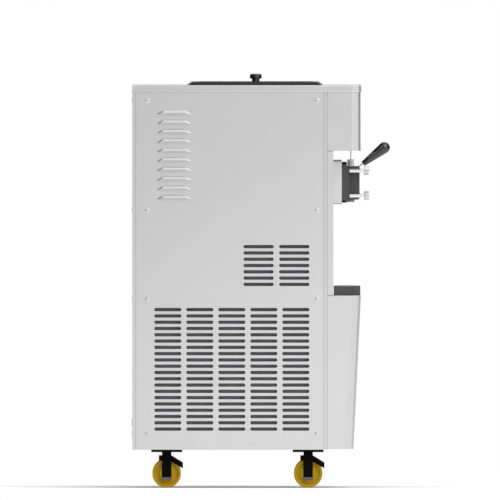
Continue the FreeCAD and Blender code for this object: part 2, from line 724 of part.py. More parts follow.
# Lower front cover: a tapered shell with a shelf on top for the drip tray
def lower_front_cover():
    outer = lower_loft(PANEL_BOTTOM, LOWER_COVER_TOP, NOSE_BACK, 0)
    hollow = lower_loft(PANEL_BOTTOM + SHEET, LOWER_COVER_TOP - SHEET, NOSE_BACK - EPS, SHEET)
    return outer.cut(hollow)


def panel_screws():
    screws = []
    for side in SIDES.values():
        outward = FreeCAD.Vector(side, 0, 0)
        screws += [screw(at(side * HALF_WIDTH, d, z), outward) for d, z in side_screw_places()]
        screws += [screw(at(side * (INNER_HALF - REAR_SCREW_INSET), 0, z), FreeCAD.Vector(0, 1, 0))
                   for z in screw_heights()]
    return Part.makeCompound(screws)


def hopper_bounds(side, inset):
    near = HOPPER_SPACING / 2 + inset
    far = HOPPER_SPACING / 2 + HOPPER_WIDTH - inset
    front = SIDE_FRONT - HOPPER_FRONT_MARGIN
    x0, x1 = sorted((side * near, side * far))
    return x0, x1, front - HOPPER_LENGTH + inset, front - inset


def hopper_solid(side, inset, z0, z1):
    corners = plan_rectangle(*hopper_bounds(side, inset))
    return plan_solid(corners, z0, z1, [HOPPER_CORNER - inset] * 4)


# Hoppers: two sheet tubs under the cover, each with a neck down to its cylinder
def hoppers():
    rim = COVER_TOP - SHEET
    floor = rim - HOPPER_DEPTH
    tubs = []
    for side in SIDES.values():
        tub = hopper_solid(side, 0, floor, rim)
        flange = hopper_solid(side, -HOPPER_FLANGE, rim - SHEET, rim)
        x, d = neck_place(side)
        neck = rod_z(x, d, CYLINDER_Z + CYLINDER_BORE + CYLINDER_WALL / 2, floor + SHEET, HOPPER_NECK_RADIUS)
        hollow = hopper_solid(side, SHEET, floor + SHEET, rim + EPS)
        feed = rod_z(x, d, CYLINDER_Z, floor + 2 * SHEET, HOPPER_NECK_RADIUS - HOPPER_NECK_WALL)
        tubs.append(fused([tub, flange, neck]).cut([hollow, feed]))
    return Part.makeCompound(tubs)


def neck_place(side):
    front = SIDE_FRONT - HOPPER_FRONT_MARGIN
    return side * CYLINDER_SPACING / 2, front - HOPPER_CORNER - 2 * HOPPER_NECK_RADIUS


# Hopper lid: a bevelled cap with a lip that drops into the hopper mouth
def hopper_lid(side):
    seat = COVER_TOP + LID_SEAT
    top = seat + LID_HEIGHT

    def frustum(inset, z0, z1):
        low = plan_rectangle(*hopper_bounds(side, inset - LID_OVERLAP))
        high = plan_rectangle(*hopper_bounds(side, inset - LID_OVERLAP + LID_BEVEL))
        radius = HOPPER_CORNER + LID_OVERLAP - inset
        wires = [plan_wire(low, z0, [radius] * 4), plan_wire(high, z1, [radius - LID_BEVEL] * 4)]
        return Part.makeLoft(wires, True, True)

    shell = frustum(0, seat, top).cut(frustum(LID_WALL, seat - EPS, top - LID_WALL))
    lip_inset = SHEET + LID_LIP_CLEARANCE
    lip = hopper_solid(side, lip_inset, seat - LID_LIP_DEPTH, top - LID_WALL)
    core = hopper_solid(side, lip_inset + LID_WALL, seat - LID_LIP_DEPTH - EPS, top - LID_WALL)
    return fused([shell, lip.cut(core)])


def lid_knob(side):
    x0, x1, d0, d1 = hopper_bounds(side, 0)
    base = at((x0 + x1) / 2, (d0 + d1) / 2 + KNOB_FORWARD, COVER_TOP + LID_SEAT + LID_HEIGHT)
    top = KNOB_STEM_HEIGHT + KNOB_HEAD_HEIGHT
    profile = [(0, 0), (0, KNOB_STEM_RADIUS), (KNOB_STEM_HEIGHT, KNOB_STEM_RADIUS),
               (KNOB_STEM_HEIGHT, KNOB_HEAD_RADIUS - KNOB_ROUND / 2),
               (KNOB_STEM_HEIGHT + KNOB_ROUND / 2, KNOB_HEAD_RADIUS),
               (top - KNOB_ROUND, KNOB_HEAD_RADIUS), (top, KNOB_HEAD_RADIUS - KNOB_ROUND), (top, 0)]
    return revolved(profile, base, FreeCAD.Vector(0, 0, 1), FreeCAD.Vector(1, 0, 0))


# Freezing cylinders: steel tubes in insulating jackets, closed at the back
def freezing_cylinders():
    tubes = []
    for side in SIDES.values():
        x = side * CYLINDER_SPACING / 2
        tube = rod_d(x, CYLINDER_BACK, FLANGE_FRONT, CYLINDER_Z, CYLINDER_BORE + CYLINDER_WALL)
        jacket = rod_d(x, CYLINDER_BACK + JACKET_REAR_MARGIN, PANEL_FACE - JACKET_FRONT_MARGIN, CYLINDER_Z,
                       JACKET_RADIUS)
        bore = rod_d(x, CYLINDER_BACK + CYLINDER_END, FLANGE_FRONT + EPS, CYLINDER_Z, CYLINDER_BORE)
        shaft = rod_d(x, CYLINDER_BACK - EPS, CYLINDER_BACK + CYLINDER_END + EPS, CYLINDER_Z,
                      BEATER_SHAFT_RADIUS + RUNNING)
        neck_d = neck_place(side)[1]
        feed = rod_z(x, neck_d, CYLINDER_Z, CYLINDER_Z + JACKET_RADIUS + EPS, HOPPER_NECK_RADIUS + SNUG)
        tubes.append(tube.fuse(jacket).cut([bore, shaft, feed]).removeSplitter())
    return Part.makeCompound(tubes)


# Beater: shaft, two spiders and scraping bars
def beater(side):
    x = side * CYLINDER_SPACING / 2
    sweep = CYLINDER_BORE - BEATER_CLEARANCE
    back = CYLINDER_BACK + CYLINDER_END + BEATER_END_GAP
    front = FLANGE_FRONT - BEATER_END_GAP
    pieces = [rod_d(x, CYLINDER_BACK - SHAFT_ENTRY, front, CYLINDER_Z, BEATER_SHAFT_RADIUS)]
    ring = sweep - BEATER_BAR_RADIUS
    for i in range(BEATER_BARS):
        turn = 2 * math.pi * i / BEATER_BARS
        bar_x = x + ring * math.sin(turn)
        bar_z = CYLINDER_Z + ring * math.cos(turn)
        pieces.append(rod_d(bar_x, back, front, bar_z, BEATER_BAR_RADIUS))
        for d in (back, front - BEATER_SPIDER):
            spoke = block(-BEATER_BAR_RADIUS, BEATER_BAR_RADIUS, d, d + BEATER_SPIDER, 0, ring)
            spoke.rotate(at(0, d, 0), FreeCAD.Vector(0, 1, 0), math.degrees(turn))
            spoke.translate(FreeCAD.Vector(x, 0, CYLINDER_Z))
            pieces.append(spoke)
    return fused(pieces)


# Gear motors bolted to the backs of the cylinders
def gear_motors():
    motors = []
    for side in SIDES.values():
        x = side * CYLINDER_SPACING / 2
        back = CYLINDER_BACK - GEARBOX_LENGTH
        box = front_solid(x - GEARBOX_WIDTH / 2, x + GEARBOX_WIDTH / 2, CYLINDER_Z - GEARBOX_HEIGHT / 2,
                          CYLINDER_Z + GEARBOX_HEIGHT / 2, back, CYLINDER_BACK, FLANGE_CORNER)
        motor = rod_d(x, back - MOTOR_LENGTH, back, CYLINDER_Z, MOTOR_RADIUS)
        shaft = rod_d(x, CYLINDER_BACK - SHAFT_ENTRY - EPS, CYLINDER_BACK + EPS, CYLINDER_Z,
                      BEATER_SHAFT_RADIUS + RUNNING)
        motors.append(fused([box, motor]).cut(shaft))
    return Part.makeCompound(motors)


def hand_screw_places():
    return [(side * HAND_SCREW_SPACING, z) for side in SIDES.values()
            for z in (CYLINDER_Z + HAND_SCREW_UPPER, CYLINDER_Z - HAND_SCREW_LOWER)]


# Flange block in front of the cabinet that carries the cylinder mouths
def cylinder_flange():
    solid = front_solid(-FLANGE_HALF_WIDTH, FLANGE_HALF_WIDTH, CYLINDER_Z + FLANGE_RISE - FLANGE_HEIGHT / 2,
                        CYLINDER_Z + FLANGE_RISE + FLANGE_HEIGHT / 2, PANEL_FACE, FLANGE_FRONT, FLANGE_CORNER)
    cuts = [rod_d(side * CYLINDER_SPACING / 2, PANEL_FACE - EPS, FLANGE_FRONT + EPS, CYLINDER_Z,
                  CYLINDER_BORE + CYLINDER_WALL + SNUG) for side in SIDES.values()]
    cuts += [rod_d(x, FLANGE_FRONT - HAND_SCREW_ENTRY, FLANGE_FRONT + EPS, z, HAND_SCREW_SHANK + SNUG)
             for x, z in hand_screw_places()]
    return solid.cut(cuts)


def seal_ring(side, clearance):
    x = side * CYLINDER_SPACING / 2
    outer = rod_d(x, FLANGE_FRONT, FLANGE_FRONT + SEAL_DEPTH + clearance, CYLINDER_Z,
                  SEAL_INNER + SEAL_WIDTH + clearance)
    inner = rod_d(x, FLANGE_FRONT - EPS, FLANGE_FRONT + SEAL_DEPTH + EPS, CYLINDER_Z, SEAL_INNER - clearance)
    return outer.cut(inner)


def door_seals():
    return Part.makeCompound([seal_ring(side, 0) for side in SIDES.values()])


# Freezer door: plate and valve block with bores, ports, lever slots and spouts
def freezer_door():
    plate_low = CYLINDER_Z - PLATE_HEIGHT / 2
    plate = front_solid(-PLATE_HALF_WIDTH, PLATE_HALF_WIDTH, plate_low, plate_low + PLATE_HEIGHT,
                        FLANGE_FRONT, PLATE_FRONT, PLATE_CORNER)
    step = front_solid(-PLATE_HALF_WIDTH, PLATE_HALF_WIDTH, BLOCK_BOTTOM, BLOCK_TOP,
                       PLATE_FRONT, STEP_FRONT, PLATE_CORNER)
    corners = plan_rectangle(-BLOCK_HALF_WIDTH, BLOCK_HALF_WIDTH, STEP_FRONT, BLOCK_FRONT)
    body = plan_solid(corners, BLOCK_BOTTOM, BLOCK_TOP, [0, 0, BLOCK_CORNER, BLOCK_CORNER])
    section = [(STEP_FRONT, BLOCK_BOTTOM), (BLOCK_FRONT, BLOCK_BOTTOM), (BLOCK_FRONT, BLOCK_TOP),
               (STEP_FRONT, BLOCK_TOP)]
    body = body.common(side_solid(section, -BLOCK_HALF_WIDTH, BLOCK_HALF_WIDTH, [0, BLOCK_FOOT_RADIUS, 0, 0]))
    solids = [plate, step, body]
    cuts = [seal_ring(side, SNUG) for side in SIDES.values()]
    cuts += [rod_d(x, FLANGE_FRONT - EPS, STEP_FRONT + EPS, z, HAND_SCREW_SHANK + SNUG)
             for x, z in hand_screw_places()]
    slot_half = LEVER_HUB_WIDTH / 2 + LEVER_SIDE_CLEARANCE
    slot_floor = PIVOT_Z - LEVER_HUB_RADIUS - VALVE_FLOOR
    for x in SPOUTS.values():
        solids.append(rod_z(x, VALVE_D, BLOCK_BOTTOM - SPOUT_LENGTH, BLOCK_BOTTOM, SPOUT_RADIUS))
        cuts.append(rod_z(x, VALVE_D, BLOCK_BOTTOM + VALVE_FLOOR, BLOCK_TOP + EPS, VALVE_RADIUS + RUNNING))
        cuts.append(rod_z(x, VALVE_D, BLOCK_BOTTOM - SPOUT_LENGTH - EPS, BLOCK_BOTTOM + VALVE_FLOOR + EPS,
                          SPOUT_PASSAGE))
        cuts.append(rod_d(x, FLANGE_FRONT - EPS, VALVE_D, PORT_Z, PORT_RADIUS))
        cuts.append(block(x - slot_half, x + slot_half, VALVE_D, BLOCK_FRONT + EPS, slot_floor,
                          BLOCK_TOP + EPS))
    channel = CYLINDER_SPACING / 2 - CYLINDER_BORE / 2
    cuts.append(block(-channel, channel, FLANGE_FRONT - EPS, FLANGE_FRONT + TWIST_CHANNEL_DEPTH,
                      PORT_Z - PORT_RADIUS, PORT_Z + PORT_RADIUS))
    cuts.append(rod_x(-BLOCK_HALF_WIDTH - EPS, BLOCK_HALF_WIDTH + EPS, PIVOT_D, PIVOT_Z, PIVOT_RADIUS + SNUG))
    return fused(solids).cut(cuts).removeSplitter()


# Star caps pushed onto the spouts
def spout_caps():
    caps = []
    low = BLOCK_BOTTOM - SPOUT_LENGTH - CAP_RING_FLOOR
    for x in SPOUTS.values():
        ring = rod_z(x, VALVE_D, low, BLOCK_BOTTOM, CAP_RING_RADIUS)
        socket = rod_z(x, VALVE_D, low + CAP_RING_FLOOR, BLOCK_BOTTOM + EPS, SPOUT_RADIUS + SNUG)
        star = []
        for i in range(2 * STAR_POINTS):
            turn = math.pi * i / STAR_POINTS
            radius = STAR_OUTER if i % 2 == 0 else STAR_INNER
            star.append((x + radius * math.cos(turn), VALVE_D + radius * math.sin(turn)))
        hole = plan_solid(star, low - EPS, low + CAP_RING_FLOOR + EPS, [0] * len(star))
        caps.append(ring.cut([socket, hole]))
    return Part.makeCompound(caps)


def lever_pivot_rod():
    return rod_x(-BLOCK_HALF_WIDTH, BLOCK_HALF_WIDTH, PIVOT_D, PIVOT_Z, PIVOT_RADIUS)


def lever_direction(degrees):
    """Unit vector in the side view, forwards and up by an angle."""
    angle = math.radians(degrees)
    return FreeCAD.Vector(0, -math.cos(angle), math.sin(angle))


def rod_foot(x):
    """Start of a lever's rod, a little above the pivot."""
    return at(x, PIVOT_D, PIVOT_Z) + lever_direction(LEVER_ANGLE + 90) * LEVER_ROD_OFFSET


# Draw lever: hub on the pivot rod, steel rod to the grip and a crank to the valve
def draw_lever(x):
    half = LEVER_HUB_WIDTH / 2
    pivot = at(x, PIVOT_D, PIVOT_Z)
    hub = rod_x(x - half, x + half, PIVOT_D, PIVOT_Z, LEVER_HUB_RADIUS)
    rod = Part.makeCylinder(LEVER_ROD_RADIUS, GRIP_START + GRIP_ROD_ENTRY, rod_foot(x),
                            lever_direction(LEVER_ANGLE))
    inwards = lever_direction(180 + LEVER_SWING / 2)
    tip_centre = pivot + inwards * CRANK_RADIUS
    tip = Part.makeCylinder(LEVER_TIP_RADIUS, LEVER_TIP_WIDTH,
                            tip_centre - FreeCAD.Vector(LEVER_TIP_WIDTH / 2, 0, 0), FreeCAD.Vector(1, 0, 0))
    upwards = lever_direction(90 + LEVER_SWING / 2) * (LEVER_ARM_THICKNESS / 2)
    side_step = FreeCAD.Vector(LEVER_TIP_WIDTH / 2, 0, 0)
    loop = [pivot + upwards, tip_centre + upwards, tip_centre - upwards, pivot - upwards]
    loop = [point - side_step for point in loop]
    arm = Part.Face(Part.makePolygon(loop + loop[:1])).extrude(side_step * 2)
    bore = rod_x(x - half - EPS, x + half + EPS, PIVOT_D, PIVOT_Z, PIVOT_RADIUS + RUNNING)
    return fused([hub, rod, tip, arm]).cut(bore)


# Grip: a tapered black handle with a ball end
def lever_grip(x):
    foot = rod_foot(x)
    axis = lever_direction(LEVER_ANGLE)
    normal = lever_direction(LEVER_ANGLE + 90)
    reach = GRIP_CENTRE - GRIP_START
    span = math.hypot(reach, GRIP_NECK_RADIUS)
    slope = math.asin(GRIP_END_RADIUS / span) - math.atan2(GRIP_NECK_RADIUS, reach)

    def on_axis(along, radius):
        return foot + axis * along + normal * radius

    touch = on_axis(GRIP_CENTRE - GRIP_END_RADIUS * math.sin(slope), GRIP_END_RADIUS * math.cos(slope))
    bow = math.radians(45)
    crown = on_axis(GRIP_CENTRE + GRIP_END_RADIUS * math.cos(bow), GRIP_END_RADIUS * math.sin(bow))
    far = on_axis(GRIP_CENTRE + GRIP_END_RADIUS, 0)
    start = on_axis(GRIP_START, 0)
    neck = on_axis(GRIP_START, GRIP_NECK_RADIUS)
    edges = [Part.makeLine(start, neck), Part.makeLine(neck, touch),
             Part.Arc(touch, crown, far).toShape(), Part.makeLine(far, start)]
    solid = Part.Face(Part.Wire(edges)).revolve(foot, axis, 360)
    socket = Part.makeCylinder(LEVER_ROD_RADIUS + SNUG, GRIP_ROD_ENTRY + EPS,
                               on_axis(GRIP_START - EPS, 0), axis)
    return solid.cut(socket)


# Draw valve: piston with a notch for the lever, cap and micro-switch pin
def draw_valve(x):
    floor = BLOCK_BOTTOM + VALVE_FLOOR + VALVE_SEAT
    seat = BLOCK_TOP + VALVE_SEAT
    piston = rod_z(x, VALVE_D, floor, seat, VALVE_RADIUS)
    cap = rod_z(x, VALVE_D, seat, seat + VALVE_CAP_HEIGHT, VALVE_CAP_RADIUS)
    pin = rod_z(x, VALVE_D, seat + VALVE_CAP_HEIGHT, HOUSING_BOTTOM + SWITCH_PIN_ENTRY, SWITCH_PIN_RADIUS)
    tip_z = PIVOT_Z - CRANK_RADIUS * math.sin(CRANK_HALF)
    half = LEVER_TIP_RADIUS + NOTCH_CLEARANCE
    mouth = half + VALVE_RADIUS * math.tan(CRANK_HALF)
    front = VALVE_D + VALVE_RADIUS + EPS
    corners = [(VALVE_D - half - EPS, tip_z - half), (VALVE_D, tip_z - half), (front, tip_z - mouth),
               (front, tip_z + mouth), (VALVE_D, tip_z + half), (VALVE_D - half - EPS, tip_z + half)]
    reach = LEVER_TIP_WIDTH / 2 + LEVER_SIDE_CLEARANCE
    notch = side_solid(corners, x - reach, x + reach)
    return fused([piston, cap, pin]).cut(notch)


# Hand screws that clamp the door to the flange
def hand_screws():
    screws = []
    sleeve_end = STEP_FRONT + HAND_SCREW_SLEEVE_LENGTH
    knob_start = sleeve_end + HAND_SCREW_NECK_LENGTH
    for x, z in hand_screw_places():
        shank = rod_d(x, FLANGE_FRONT - HAND_SCREW_ENTRY, knob_start, z, HAND_SCREW_SHANK)
        sleeve = rod_d(x, STEP_FRONT, sleeve_end, z, HAND_SCREW_SLEEVE_RADIUS)
        rim = []
        for i in range(HAND_SCREW_LOBES):
            turn = 2 * math.pi * (i + 0.5) / HAND_SCREW_LOBES
            rim.append(at(x + HAND_SCREW_KNOB_RADIUS * math.cos(turn), knob_start,
                          z + HAND_SCREW_KNOB_RADIUS * math.sin(turn)))
        knob_face = Part.Face(Part.makePolygon(rim + rim[:1]))
        knob = knob_face.extrude(FreeCAD.Vector(0, -HAND_SCREW_KNOB_LENGTH, 0))
        screws.append(fused([shank, sleeve, knob]))
    return Part.makeCompound(screws)


def tray_bounds():
    back = PANEL_FACE + TRAY_REAR_GAP
    low = LOWER_COVER_TOP + TRAY_SEAT
    return back, back + TRAY_DEPTH, low, low + TRAY_HEIGHT


# Drip tray on the shelf of the lower cover
def drip_tray():
    back, front, low, high = tray_bounds()
    half = TRAY_HALF_WIDTH
    facet = front - TRAY_FACET
    corner = half - TRAY_FACET * math.tan(math.radians(FACET_ANGLE))
    corners = [(-half, back), (half, back), (half, facet), (corner, front), (-corner, front), (-half, facet)]
    body = plan_solid(corners, low, high, [BEND_RADIUS] * len(corners))
    inner = half - TRAY_SIDE_RIM
    pocket = block(-inner, inner, back + TRAY_REAR_RIM, front - TRAY_FRONT_RIM, low + TRAY_FLOOR, high + EPS)
    return body.cut(pocket)


# Drip grid: a slotted plate on four legs inside the tray
def drip_grid():
    back, front, low, high = tray_bounds()
    half = TRAY_HALF_WIDTH - TRAY_SIDE_RIM - GRID_CLEARANCE
    d0 = back + TRAY_REAR_RIM + GRID_CLEARANCE
    d1 = front - TRAY_FRONT_RIM - GRID_CLEARANCE
    top = high + GRID_PROUD
    under = top - GRID_THICKNESS
    middle = (d0 + d1) / 2
    wires = [plan_wire(plan_rectangle(-half, half, d0, d1), under, [BEND_RADIUS] * 4)]
    count = int((2 * half - 4 * GRID_LEG) / GRID_SLOT_PITCH)
    for i in range(count):
        x = (i - (count - 1) / 2) * GRID_SLOT_PITCH
        rectangle = plan_rectangle(x - GRID_SLOT_WIDTH / 2, x + GRID_SLOT_WIDTH / 2,
                                   middle - GRID_SLOT_LENGTH / 2, middle + GRID_SLOT_LENGTH / 2)
        wires.append(plan_wire(rectangle, under, [GRID_SLOT_WIDTH / 2 - SLIVER] * 4))
    plate = sheet_face(wires).extrude(FreeCAD.Vector(0, 0, GRID_THICKNESS))
    floor = low + TRAY_FLOOR + GRID_LEG_GAP
    legs = [rod_z(x, d, floor, under, GRID_LEG / 2)
            for x in (GRID_LEG - half, half - GRID_LEG) for d in (d0 + GRID_LEG, d1 - GRID_LEG)]
    return fused([plate] + legs)


def caster_places():
    places = {}
    for name, side in SIDES.items():
        x = side * (HALF_WIDTH - CASTER_INSET)
        places["rear_" + name] = (x, CASTER_REAR)
        places["front_" + name] = (x, SIDE_FRONT - CASTER_FRONT_MARGIN)
    return places


CROWN_TOP = CASTER_HEIGHT - CASTER_PLATE_THICKNESS - PLATE_GAP
FORK_INNER = WHEEL_HUB_WIDTH / 2 + FORK_GAP
FORK_OUTER = FORK_INNER + FORK_LEG


# Caster top plates, each with the kingpin that its fork swivels on
def caster_plates():
    plates = []
    for x, d in caster_places().values():
        corners = plan_rectangle(x - CASTER_PLATE_WIDTH / 2, x + CASTER_PLATE_WIDTH / 2,
                                 d - CASTER_PLATE_LENGTH / 2, d + CASTER_PLATE_LENGTH / 2)
        plate = plan_solid(corners, CASTER_HEIGHT - CASTER_PLATE_THICKNESS, CASTER_HEIGHT, [BEND_RADIUS] * 4)
        kingpin = rod_z(x, d, CROWN_TOP - FORK_CROWN, CASTER_HEIGHT, KINGPIN_RADIUS)
        plates.append(plate.fuse(kingpin).removeSplitter())
    return Part.makeCompound(plates)


# Caster fork: crown, two legs, axle, brake pin and the tail behind the crown
def caster_fork(x, d):
    half = FORK_WIDTH / 2
    crown = block(x - FORK_OUTER, x + FORK_OUTER, d - half, d + half, CROWN_TOP - FORK_CROWN, CROWN_TOP)
    pieces = [crown]
    for side in SIDES.values():
        x0, x1 = sorted((x + side * FORK_INNER, x + side * FORK_OUTER))
        pieces.append(block(x0, x1, d - half, d + half, FORK_LEG_FOOT, CROWN_TOP))
        pieces.append(block(x0, x1, d - half - FORK_TAIL_LENGTH, d - half, FORK_TAIL_FOOT, FORK_TAIL_TOP))
    pieces.append(rod_x(x - FORK_OUTER, x + FORK_OUTER, d, WHEEL_RADIUS, AXLE_RADIUS))
    pieces.append(rod_x(x - FORK_OUTER, x + FORK_OUTER, d + PEDAL_PIN_FORWARD, PEDAL_PIN_HEIGHT,
                        PEDAL_PIN_RADIUS))
    bore = rod_z(x, d, CROWN_TOP - FORK_CROWN - EPS, CROWN_TOP + EPS, KINGPIN_RADIUS + RUNNING)
    return fused(pieces).cut(bore)


# Caster wheel: tread, recessed web and hub
def caster_wheel(x, d):
    tread = WHEEL_WIDTH / 2
    web = WHEEL_WEB / 2
    hub = WHEEL_HUB_WIDTH / 2
    rim = WHEEL_RADIUS - WHEEL_RIM
    bore = AXLE_RADIUS + RUNNING
    near = [(-hub, bore), (-hub, WHEEL_HUB_RADIUS), (-web, WHEEL_HUB_RADIUS), (-web, rim), (-tread, rim),
            (-tread, WHEEL_RADIUS)]
    profile = near + [(-along, radius) for along, radius in reversed(near)]
    return revolved(profile, at(x, d, WHEEL_RADIUS), FreeCAD.Vector(1, 0, 0), FreeCAD.Vector(0, 0, 1))


# Brake pedal: a ribbed plate with two cheeks that straddle the wheel
def brake_pedal(x, d):
    cheek_out = FORK_INNER - PEDAL_SIDE_GAP
    heel = d + FORK_WIDTH / 2
    tip = d + PEDAL_TIP_REACH
    eye_d = d + PEDAL_PIN_FORWARD
    cheek = [(heel, PEDAL_HEEL_FOOT), (tip, PEDAL_TIP_FOOT), (tip, PEDAL_TIP_TOP), (heel, PEDAL_TOP),
             (eye_d, PEDAL_TOP), (eye_d, PEDAL_PIN_HEIGHT - PEDAL_EYE)]
    plate = [(heel, PEDAL_TOP - PEDAL_PLATE), (tip, PEDAL_TIP_TOP - PEDAL_PLATE), (tip, PEDAL_TIP_TOP),
             (heel, PEDAL_TOP)]
    pieces = [side_solid(plate, x - cheek_out, x + cheek_out)]
    for side in SIDES.values():
        x0, x1 = sorted((x + side * (cheek_out - PEDAL_CHEEK), x + side * cheek_out))
        pieces.append(side_solid(cheek, x0, x1))
        pieces.append(rod_x(x0, x1, eye_d, PEDAL_PIN_HEIGHT, PEDAL_EYE))
    pin = rod_x(x - FORK_OUTER, x + FORK_OUTER, eye_d, PEDAL_PIN_HEIGHT, PEDAL_PIN_RADIUS + RUNNING)
    return fused(pieces).cut(pin)


CONDENSER_OUTER = HALF_WIDTH - CONDENSER_PANEL_GAP
CONDENSER_INNER = CONDENSER_OUTER - CONDENSER_DEPTH
CONDENSER_BOTTOM = PANEL_BOTTOM + CONDENSER_RISE
CONDENSER_TOP = CONDENSER_BOTTOM + CONDENSER_HEIGHT
CONDENSER_BACK = SIDE_BACK + CONDENSER_MARGIN
CONDENSER_FRONT = SIDE_FRONT - CONDENSER_MARGIN
FAN_D = (CONDENSER_BACK + CONDENSER_FRONT) / 2
FAN_Z = (CONDENSER_BOTTOM + CONDENSER_TOP) / 2
SHROUD_INNER = CONDENSER_INNER - SHROUD_DEPTH
FAN_X = CONDENSER_INNER - SHROUD_DEPTH / 2


# Condenser coil standing on the pan behind the right side's lower slots
def condenser():
    core = block(-CONDENSER_OUTER, -CONDENSER_INNER, CONDENSER_BACK, CONDENSER_FRONT, CONDENSER_BOTTOM,
                 CONDENSER_TOP)
    feet = [block(-CONDENSER_OUTER, -CONDENSER_INNER, d, d + POST_FACE, PANEL_BOTTOM, CONDENSER_BOTTOM)
            for d in (CONDENSER_BACK, CONDENSER_FRONT - POST_FACE)]
    return fused([core] + feet)


# Fan shroud with its motor held on cross struts
def fan_shroud():
    opening = FAN_RADIUS + FAN_TIP_GAP
    box = block(-CONDENSER_INNER, -SHROUD_INNER, CONDENSER_BACK, CONDENSER_FRONT, CONDENSER_BOTTOM,
                CONDENSER_TOP)
    hole = rod_x(-CONDENSER_INNER - EPS, -SHROUD_INNER + EPS, FAN_D, FAN_Z, opening)
    motor_start = -SHROUD_INNER + FAN_MOTOR_GAP
    motor = rod_x(motor_start, motor_start + FAN_MOTOR_LENGTH, FAN_D, FAN_Z, FAN_MOTOR_RADIUS)
    struts = [block(motor_start, motor_start + FAN_STRUT, CONDENSER_BACK, CONDENSER_FRONT,
                    FAN_Z - FAN_STRUT / 2, FAN_Z + FAN_STRUT / 2)]
    for d in (CONDENSER_BACK, CONDENSER_FRONT - FAN_STRUT):
        struts.append(block(-SHROUD_INNER, motor_start + FAN_STRUT, d, d + FAN_STRUT,
                            FAN_Z - FAN_STRUT / 2, FAN_Z + FAN_STRUT / 2))
    return fused([box.cut(hole), motor] + struts)


# Axial fan inside the shroud
def cooling_fan():
    half = FAN_WIDTH / 2
    pieces = [rod_x(-FAN_X - half, -FAN_X + half, FAN_D, FAN_Z, FAN_HUB_RADIUS)]
    root = FAN_HUB_RADIUS / 2
    for i in range(FAN_BLADES):
        blade = Part.makeBox(FAN_BLADE_THICKNESS, FAN_BLADE_CHORD, FAN_RADIUS - root,
                             FreeCAD.Vector(-FAN_BLADE_THICKNESS / 2, -FAN_BLADE_CHORD / 2, root))
        blade.rotate(FreeCAD.Vector(0, 0, 0), FreeCAD.Vector(0, 0, 1), FAN_BLADE_ANGLE)
        blade.rotate(FreeCAD.Vector(0, 0, 0), FreeCAD.Vector(1, 0, 0), 360 * i / FAN_BLADES)
        blade.translate(at(-FAN_X, FAN_D, FAN_Z))
        pieces.append(blade)
    swept = rod_x(-FAN_X - half, -FAN_X + half, FAN_D, FAN_Z, FAN_RADIUS)
    return fused(pieces).common(swept)


COMPRESSOR_TOP = PANEL_BOTTOM + COMPRESSOR_FOOT + COMPRESSOR_HEIGHT


# Compressor: a domed can on a foot plate
def compressor():
    base = at(COMPRESSOR_X, FAN_D, PANEL_BOTTOM + COMPRESSOR_FOOT)
    shoulder = COMPRESSOR_HEIGHT - COMPRESSOR_DOME
    profile = [(0, 0), (0, COMPRESSOR_RADIUS - COMPRESSOR_DOME), (COMPRESSOR_DOME, COMPRESSOR_RADIUS),
               (shoulder, COMPRESSOR_RADIUS), (COMPRESSOR_HEIGHT, COMPRESSOR_RADIUS - COMPRESSOR_DOME),
               (COMPRESSOR_HEIGHT, 0)]
    can = revolved(profile, base, FreeCAD.Vector(0, 0, 1), FreeCAD.Vector(1, 0, 0))
    reach = COMPRESSOR_RADIUS
    foot = block(COMPRESSOR_X - reach, COMPRESSOR_X + reach, FAN_D - reach, FAN_D + reach, PANEL_BOTTOM,
                 PANEL_BOTTOM + COMPRESSOR_FOOT)
    return fused([can, foot])


def pipe(points):
    """Round pipe along straight runs joined by bends."""
    edges = []
    start = points[0]
    for i in range(1, len(points) - 1):
        corner = points[i]
        before = (points[i - 1] - corner).normalize()
        after = (points[i + 1] - corner).normalize()
        first = corner + before * PIPE_BEND
        last = corner + after * PIPE_BEND
        centre = corner + (before + after) * PIPE_BEND
        middle = centre + (corner - centre).normalize() * PIPE_BEND
        edges.append(Part.makeLine(start, first))
        edges.append(Part.Arc(first, middle, last).toShape())
        start = last
    edges.append(Part.makeLine(start, points[-1]))
    along = (points[1] - points[0]).normalize()
    section = Part.Wire(Part.makeCircle(PIPE_RADIUS, points[0], along))
    return Part.Wire(edges).makePipeShell([section], True, False)


# Refrigerant pipes: compressor to condenser, and cylinder jacket back to the compressor
def refrigerant_pipes():
    crossing = CONDENSER_TOP + PIPE_CROSSING
    coil_x = -(CONDENSER_OUTER + CONDENSER_INNER) / 2
    discharge = pipe([at(COMPRESSOR_X, FAN_D, COMPRESSOR_TOP), at(COMPRESSOR_X, FAN_D, crossing),
                      at(coil_x, FAN_D, crossing), at(coil_x, FAN_D, CONDENSER_TOP)])
    beside = COMPRESSOR_X + COMPRESSOR_RADIUS / 2
    jacket_x = CYLINDER_SPACING / 2
    turn = MID_RAIL_TOP - 2 * PIPE_CROSSING
    suction = pipe([at(beside, FAN_D, COMPRESSOR_TOP), at(beside, FAN_D, turn),
                    at(jacket_x, FAN_D, turn), at(jacket_x, FAN_D, MID_RAIL_TOP)])
    return Part.makeCompound([discharge, suction])


# Electrical box on legs above the condenser, behind the middle slots
def electrical_box():
    bottom = CONDENSER_TOP + ELECTRICAL_LEG
    front = SIDE_FRONT - ELECTRICAL_MARGIN
    back = front - ELECTRICAL_LENGTH
    box = block(-CONDENSER_OUTER, ELECTRICAL_WIDTH - CONDENSER_OUTER, back, front, bottom,
                bottom + ELECTRICAL_HEIGHT)
    legs = [block(-CONDENSER_OUTER, -CONDENSER_INNER, d, d + RAIL_HEIGHT, CONDENSER_TOP, bottom)
            for d in (back + RAIL_HEIGHT, CONDENSER_FRONT - RAIL_HEIGHT)]
    return fused([box] + legs)


